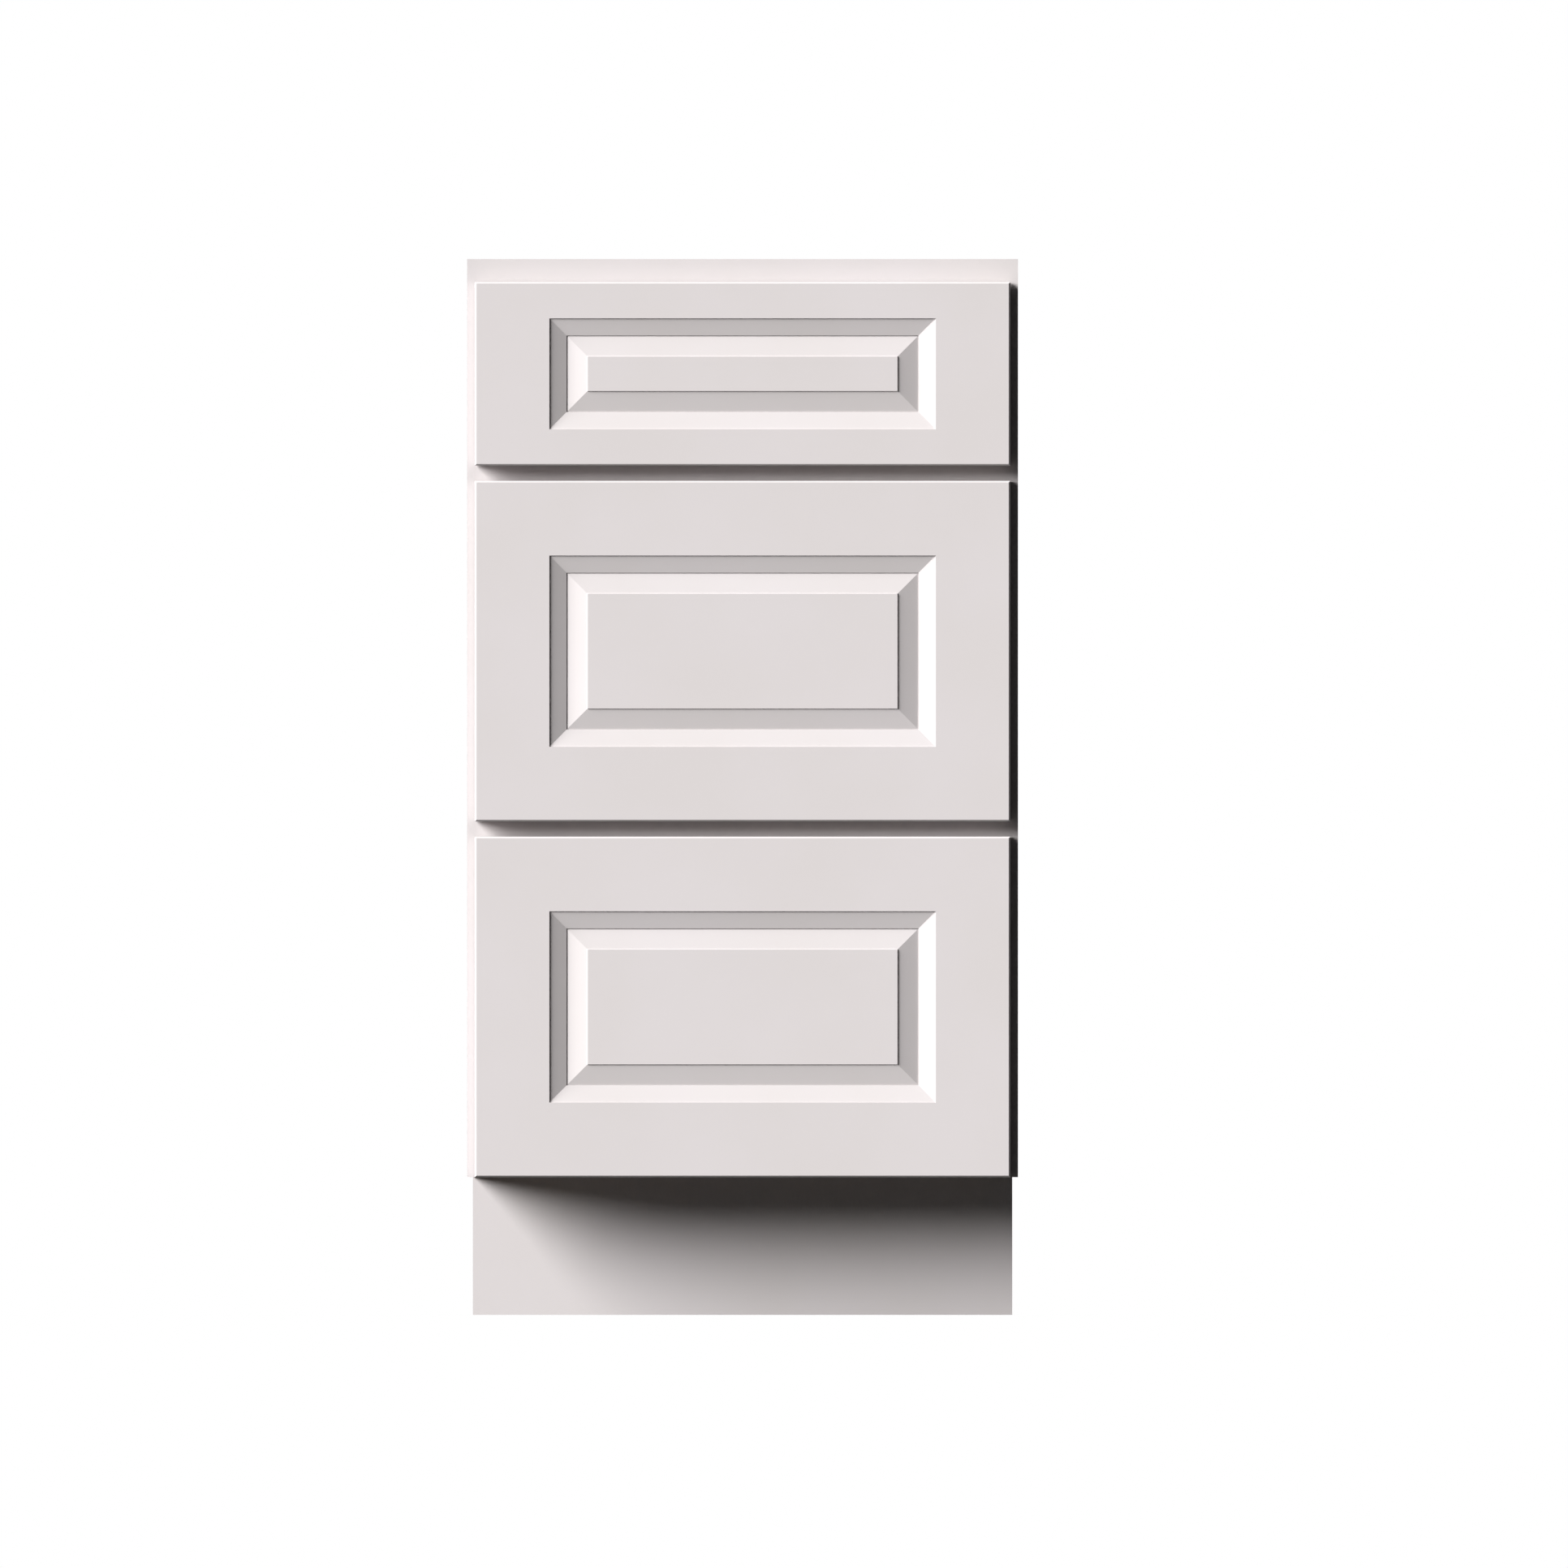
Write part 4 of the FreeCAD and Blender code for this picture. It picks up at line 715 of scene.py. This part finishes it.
def threaded_shank(shape, radius, length):
    """A shank below Z = 0, open above, with a thread and a tip. Gives its highest ring."""
    step = THREAD_PITCH / RINGS_PER_TURN
    levels = [-step * level for level in range(round(length / step))] + [-length]

    def radius_at(height):
        point = min(1.0, max(TIP_SHARE, (length + height) / TIP_LENGTH))

        def thread(angle):
            wave = (height / THREAD_PITCH - angle / (2 * math.pi)) % 1
            fall = min(1, THREAD_STEEPNESS * abs(wave - 0.5))
            return point * (radius - THREAD_DEPTH * fall)
        return thread

    rings = [ring(shape, radius_at(level), level) for level in levels]
    for first, second in zip(rings, rings[1:]):
        skin(shape, first, second)
    shape.faces.new(rings[-1])
    return rings[0]


def screw_mesh(head_radius, head_height, radius, length):
    """One screw with its head's seat at the origin and its head towards +Z."""
    shape = bmesh.new()
    seat = recessed_head(shape, head_radius, head_height)
    neck = threaded_shank(shape, radius, length)
    skin(shape, neck, seat)
    bmesh.ops.recalc_face_normals(shape, faces=shape.faces[:])
    return shape


sample = screw_mesh(head_radius=4.2 * MM, head_height=2 * MM, radius=2 * MM, length=13 * MM)
print("one short screw has", len(sample.faces), "faces")
sample.free()

# %% [markdown]
# Each blank gives its screw's measures. Its longest side is the axis. The corners that
# lie farthest out from that axis belong to the head, so they give the head's radius, its
# height and its end. An eight-sided blank lies inside its circle, with its corners on
# it, so the corners give true radii.

# %% Put a screw in place of each blank
def axis_and_middle(points):
    """The axis that some points reach farthest along, and their middle."""
    low, high = extent(points)
    size = high - low
    axis = max(range(3), key=lambda number: size[number])
    return axis, (low + high) / 2


def screw_in(shape, points):
    """Adds the screw that a blank stands for."""
    axis, middle = axis_and_middle(points)

    def outward(point):
        offset = point - middle
        offset[axis] = 0
        return offset.length

    head_radius = max(outward(point) for point in points)
    radius = min(outward(point) for point in points if outward(point) > SEAM)
    head = [point[axis] for point in points if outward(point) > head_radius - SEAM]
    ends = [point[axis] for point in points]
    head_up = sum(head) / len(head) > middle[axis]
    seat, top = (min(head), max(head)) if head_up else (max(head), min(head))
    tip = min(ends) if head_up else max(ends)
    screw = screw_mesh(head_radius, abs(top - seat), radius, abs(seat - tip))
    direction = Vector((0, 0, 0))
    direction[axis] = 1 if head_up else -1
    place = middle.copy()
    place[axis] = seat
    turned = direction.to_track_quat("Z", "Y").to_matrix().to_4x4()
    bmesh.ops.transform(screw, matrix=Matrix.Translation(place) @ turned, verts=screw.verts[:])
    add_shape(shape, screw)


def add_shape(shape, other):
    """Copies one shape into another."""
    mesh = bpy.data.meshes.new("passing")
    other.to_mesh(mesh)
    other.free()
    shape.from_mesh(mesh)
    bpy.data.meshes.remove(mesh)


SHARP_ABOVE = math.radians(40)
fittings = []


def stand_in(name, shape, slot, *materials):
    """Puts a finely shaped piece where a CAD piece was, on the same body."""
    mesh = bpy.data.meshes.new(f"fine_{name}")
    shape.to_mesh(mesh)
    shape.free()
    for material in materials:
        mesh.materials.append(material)
    piece = bpy.data.objects.new(f"fine_{name}", mesh)
    bpy.context.scene.collection.objects.link(piece)
    mesh.shade_smooth()
    mesh.set_sharp_from_angle(angle=SHARP_ABOVE)
    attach(piece, body_of(nodes[name])[0])
    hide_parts(name)
    fittings.append(piece)
    return piece


SCREWS = ["slide_screws"] + [f"{drawer}_drawer_front_screws" for drawer in DRAWERS]
for name in SCREWS:
    shape = bmesh.new()
    for points in blanks(name):
        screw_in(shape, points)
    stand_in(name, shape, "zinc_screws", screw_steel)
    print(name, len(blanks(name)), "screws")

# %% [markdown]
# ## Bumper dots
#
# A bumper is a flat-backed dome about as wide as a shirt button. It is cut from a sheet
# of moulded dots, so it has a thin upright rim and then a smooth crown.

# %% Bumpers
RIM_SHARE = 0.2
CROWN_STEPS = 7
CROWN_FLAT = 0.1


def dome_profile(radius, height):
    """A thin rim, then a crown that flattens towards the middle."""
    rim = height * RIM_SHARE
    crown = []
    for step in range(CROWN_STEPS):
        rise = math.pi / 2 * step / CROWN_STEPS
        crown.append((radius * math.cos(rise), rim + (height - rim) * math.sin(rise)))
    return [(radius, 0.0)] + crown + [(radius * CROWN_FLAT, height)]


shape = bmesh.new()
for points in blanks("bumper_pads"):
    low, high = extent(points)
    dot = bmesh.new()
    turn(dot, dome_profile((high.x - low.x) / 2, high.y - low.y))
    middle = (low + high) / 2
    middle.y = high.y
    upright = Matrix.Translation(middle) @ Matrix.Rotation(math.pi / 2, 4, "X")
    bmesh.ops.transform(dot, matrix=upright, verts=dot.verts[:])
    bmesh.ops.recalc_face_normals(dot, faces=dot.faces[:])
    add_shape(shape, dot)
stand_in("bumper_pads", shape, "clear_bumper", bumper_plastic)
print(len(blanks("bumper_pads")), "bumper dots")

# %% [markdown]
# ## Roller cages
#
# A cage is a thin plastic strip that keeps the rollers apart and in line. The strip is
# right as it was cut. The rollers in its windows become smooth steel-grey drums with
# rounded rims, which is how they roll without scoring the track.

# %% Rollers
roller_grey = moulded("roller_grey", linear(126, 130, 135), 0.3, 0.004 * MM)
RIM_ROUNDING = 0.25 * MM


def drum(low, high):
    """A roller along X that fills its blank's box."""
    radius = (high.z - low.z) / 2
    half = (high.x - low.x) / 2
    inset = radius - RIM_ROUNDING
    shoulder = half - RIM_ROUNDING
    shape = bmesh.new()
    turn(shape, [(inset, -half), (radius, -shoulder), (radius, shoulder), (inset, half)])
    for face in shape.faces:
        face.material_index = 1
    sideways = Matrix.Translation((low + high) / 2) @ Matrix.Rotation(math.pi / 2, 4, "Y")
    bmesh.ops.transform(shape, matrix=sideways, verts=shape.verts[:])
    bmesh.ops.recalc_face_normals(shape, faces=shape.faces[:])
    return shape


def fine_cages(name):
    """Puts drums into a piece's cages, and says how many."""
    shape = bmesh.new()
    shape.from_mesh(nodes[name].data)
    solids = [(solid, extent([vert.co for vert in solid])) for solid in loose_solids(shape)]
    longest = max(high.y - low.y for solid, (low, high) in solids)
    rollers = [(solid, box) for solid, box in solids if box[1].y - box[0].y < longest / 2]
    corners = [vert for solid, box in rollers for vert in solid]
    bmesh.ops.delete(shape, geom=corners, context="VERTS")
    for solid, (low, high) in rollers:
        add_shape(shape, drum(low, high))
    cage = stand_in(name, shape, "cage_plastic", cage_plastic, roller_grey)
    soften(cage, EDGE_WIDTH["steel"])
    return len(rollers)


for drawer in DRAWERS:
    for level in ("base", "top"):
        print(drawer, level, fine_cages(f"{drawer}_drawer_{level}_roller_cages"), "rollers")

# %% [markdown]
# ## The studio
#
# A pale floor and a white surround give the plain white ground of the picture. But a
# white floor also throws light up into every shadow, and the picture's shadows are deep.
# So both are white where they are seen, directly, in gloss or through clear plastic, and
# dark where they would light the cabinet. Gloss counts only on the way's first stop,
# or it would carry the white into the shadows after all. The floor still takes its
# shadow.

# %% Floor and world
FLOOR_WHITE = (0.80, 0.80, 0.80, 1.0)
FLOOR_GREY = (0.79, 0.79, 0.79, 1.0)
FLOOR_CLOUDS_PER_METRE = 3
FLOOR_RADIUS = 60.0
FLOOR_DROP = 0.2 * MM
FLOOR_BOUNCE = 0.005
AMBIENT = 0.012
FIRST_STOP = 1.5


def seen_directly(tree):
    """1 for what the camera sees, also in gloss and through clear plastic, otherwise 0."""
    path = add_node(tree, "LightPath").outputs
    first = calculate(tree, "LESS_THAN", path["Ray Depth"], FIRST_STOP)
    in_gloss = calculate(tree, "MULTIPLY", path["Is Glossy Ray"], first)
    seen = calculate(tree, "MAXIMUM", path["Is Camera Ray"], in_gloss)
    return calculate(tree, "MAXIMUM", seen, path["Is Transmission Ray"])


def pale_floor():
    """A wide round floor that takes shadows and sends little light back up."""
    mesh = bpy.data.meshes.new("studio_floor")
    shape = bmesh.new()
    bmesh.ops.create_circle(shape, cap_ends=True, segments=64, radius=FLOOR_RADIUS)
    shape.to_mesh(mesh)
    shape.free()
    floor = bpy.data.objects.new("studio_floor", mesh)
    bpy.context.scene.collection.objects.link(floor)
    floor.location.z = -FLOOR_DROP
    material, tree, shader, place = start_finish("studio_floor", Roughness=0.9)
    clouds = spread(tree, noise(tree, place, FLOOR_CLOUDS_PER_METRE, 2), *NOISE_RANGE)
    pale = mix_colours(tree, clouds, FLOOR_WHITE, FLOOR_GREY)
    dark = (FLOOR_BOUNCE, FLOOR_BOUNCE, FLOOR_BOUNCE, 1.0)
    colour = mix_colours(tree, seen_directly(tree), dark, pale)
    tree.links.new(colour, shader.inputs["Base Color"])
    mesh.materials.append(material)
    return floor


def white_world():
    """White where it is seen, and dim as a lamp."""
    world = bpy.data.worlds.new("studio")
    bpy.context.scene.world = world
    world.use_nodes = True
    tree = world.node_tree
    tree.nodes.clear()
    white = (1, 1, 1, 1)
    dim = add_node(tree, "Background", {"Color": white, "Strength": AMBIENT}).outputs[0]
    bright = add_node(tree, "Background", {"Color": white, "Strength": 1.0}).outputs[0]
    choice = {0: seen_directly(tree), 1: dim, 2: bright}
    both = add_node(tree, "MixShader", choice).outputs[0]
    add_node(tree, "OutputWorld", {"Surface": both})
    return world


floor = pale_floor()
white_world()
print("floor and world are ready; ambient light", AMBIENT)

# %% [markdown]
# ## The lamps
#
# In the picture one soft lamp rakes across the front from the upper left. It draws every
# moulding: slopes that face it brighten, and slopes that face away darken. The frame
# beside each front glows a little from light that the front's own edge throws on it, but
# less than white paint would give, and the gaps stay dark. Two lamps in one place, of
# which one lights only what it reaches directly, set that balance.
#
# A lamp that rakes the front hits the left side square on and would burn it out, so it
# shines on the painted front alone, and a gentler one beside it lights the rest. Two
# weak lamps behind on the right keep the far side readable in other views. They don't
# show as glints, and they leave the front as it is.

# %% Lamps
RAKING_DIRECTION = Vector((-0.80, -0.40, 0.44))
RAKING_STRENGTH = 4.7
RAKING_DIRECT_STRENGTH = 3.15
RAKING_SOFTNESS = 40
SOFTNESS = 30
GENTLE_DIRECTION = Vector((-0.62, -0.50, 0.60))
GENTLE_STRENGTH = 4.7
REAR_DIRECTION = Vector((0.78, 0.60, 0.18))
REAR_STRENGTH = 3.5
EDGE_STRENGTH = 1.6


def sun(name, towards, strength, softness, shines_on, bounces=True, shows_in_gloss=True):
    """A distant lamp. softness is its width in degrees, and shines_on a list of pieces."""
    data = bpy.data.lights.new(name, "SUN")
    if not bounces:
        data.cycles.max_bounces = 0
    data.energy = strength
    data.angle = math.radians(softness)
    lamp = bpy.data.objects.new(name, data)
    bpy.context.scene.collection.objects.link(lamp)
    lamp.visible_glossy = shows_in_gloss
    lamp.rotation_mode = "QUATERNION"
    lamp.rotation_quaternion = towards.to_track_quat("Z", "Y")
    group = bpy.data.collections.new(f"{name}_shines_on")
    for piece in shines_on:
        group.objects.link(piece)
    lamp.light_linking.receiver_collection = group
    return lamp


painted = [piece for piece in nodes.values() if piece.data.materials[0] == paint]
others = [piece for piece in nodes.values() if piece.data.materials[0] != paint]
others += fittings + [floor]
sun("raking_lamp", RAKING_DIRECTION, RAKING_STRENGTH, RAKING_SOFTNESS, painted)
sun("raking_lamp_without_bounces", RAKING_DIRECTION, RAKING_DIRECT_STRENGTH,
    RAKING_SOFTNESS, painted, bounces=False)
sun("gentle_lamp", GENTLE_DIRECTION, GENTLE_STRENGTH, SOFTNESS, others)
sun("rear_lamp", REAR_DIRECTION, REAR_STRENGTH, SOFTNESS, others, shows_in_gloss=False)
sun("edge_lamp", REAR_DIRECTION, EDGE_STRENGTH, SOFTNESS, painted,
    bounces=False, shows_in_gloss=False)
print(len(painted), "painted pieces under the raking lamp,", len(others), "others")

# %% [markdown]
# ## The camera
#
# The picture has no perspective, so the camera is orthographic and only its height,
# its place across and the width of its view matter. They follow from the size of the
# cabinet in the picture: 0.6736 mm to a pixel, with the cabinet a little left of the
# middle.

# %% Camera
VIEW_WIDTH = 1.3014
VIEW_MIDDLE = Vector((0.0344, 0.0, 0.4406))
CAMERA_DISTANCE = 5.0

camera_data = bpy.data.cameras.new("camera")
camera_data.type = "ORTHO"
camera_data.ortho_scale = VIEW_WIDTH
camera = bpy.data.objects.new("camera", camera_data)
bpy.context.scene.collection.objects.link(camera)
camera.location = VIEW_MIDDLE - Vector((0, CAMERA_DISTANCE, 0))
camera.rotation_euler = (math.pi / 2, 0, 0)
bpy.context.scene.camera = camera
bpy.context.scene.view_settings.view_transform = "Standard"
print("camera sees", VIEW_WIDTH, "m across")

# %% [markdown]
# ## Finish
#
# The finish mustn't make the cabinet any larger than the bare one.

# %% Finish
import json
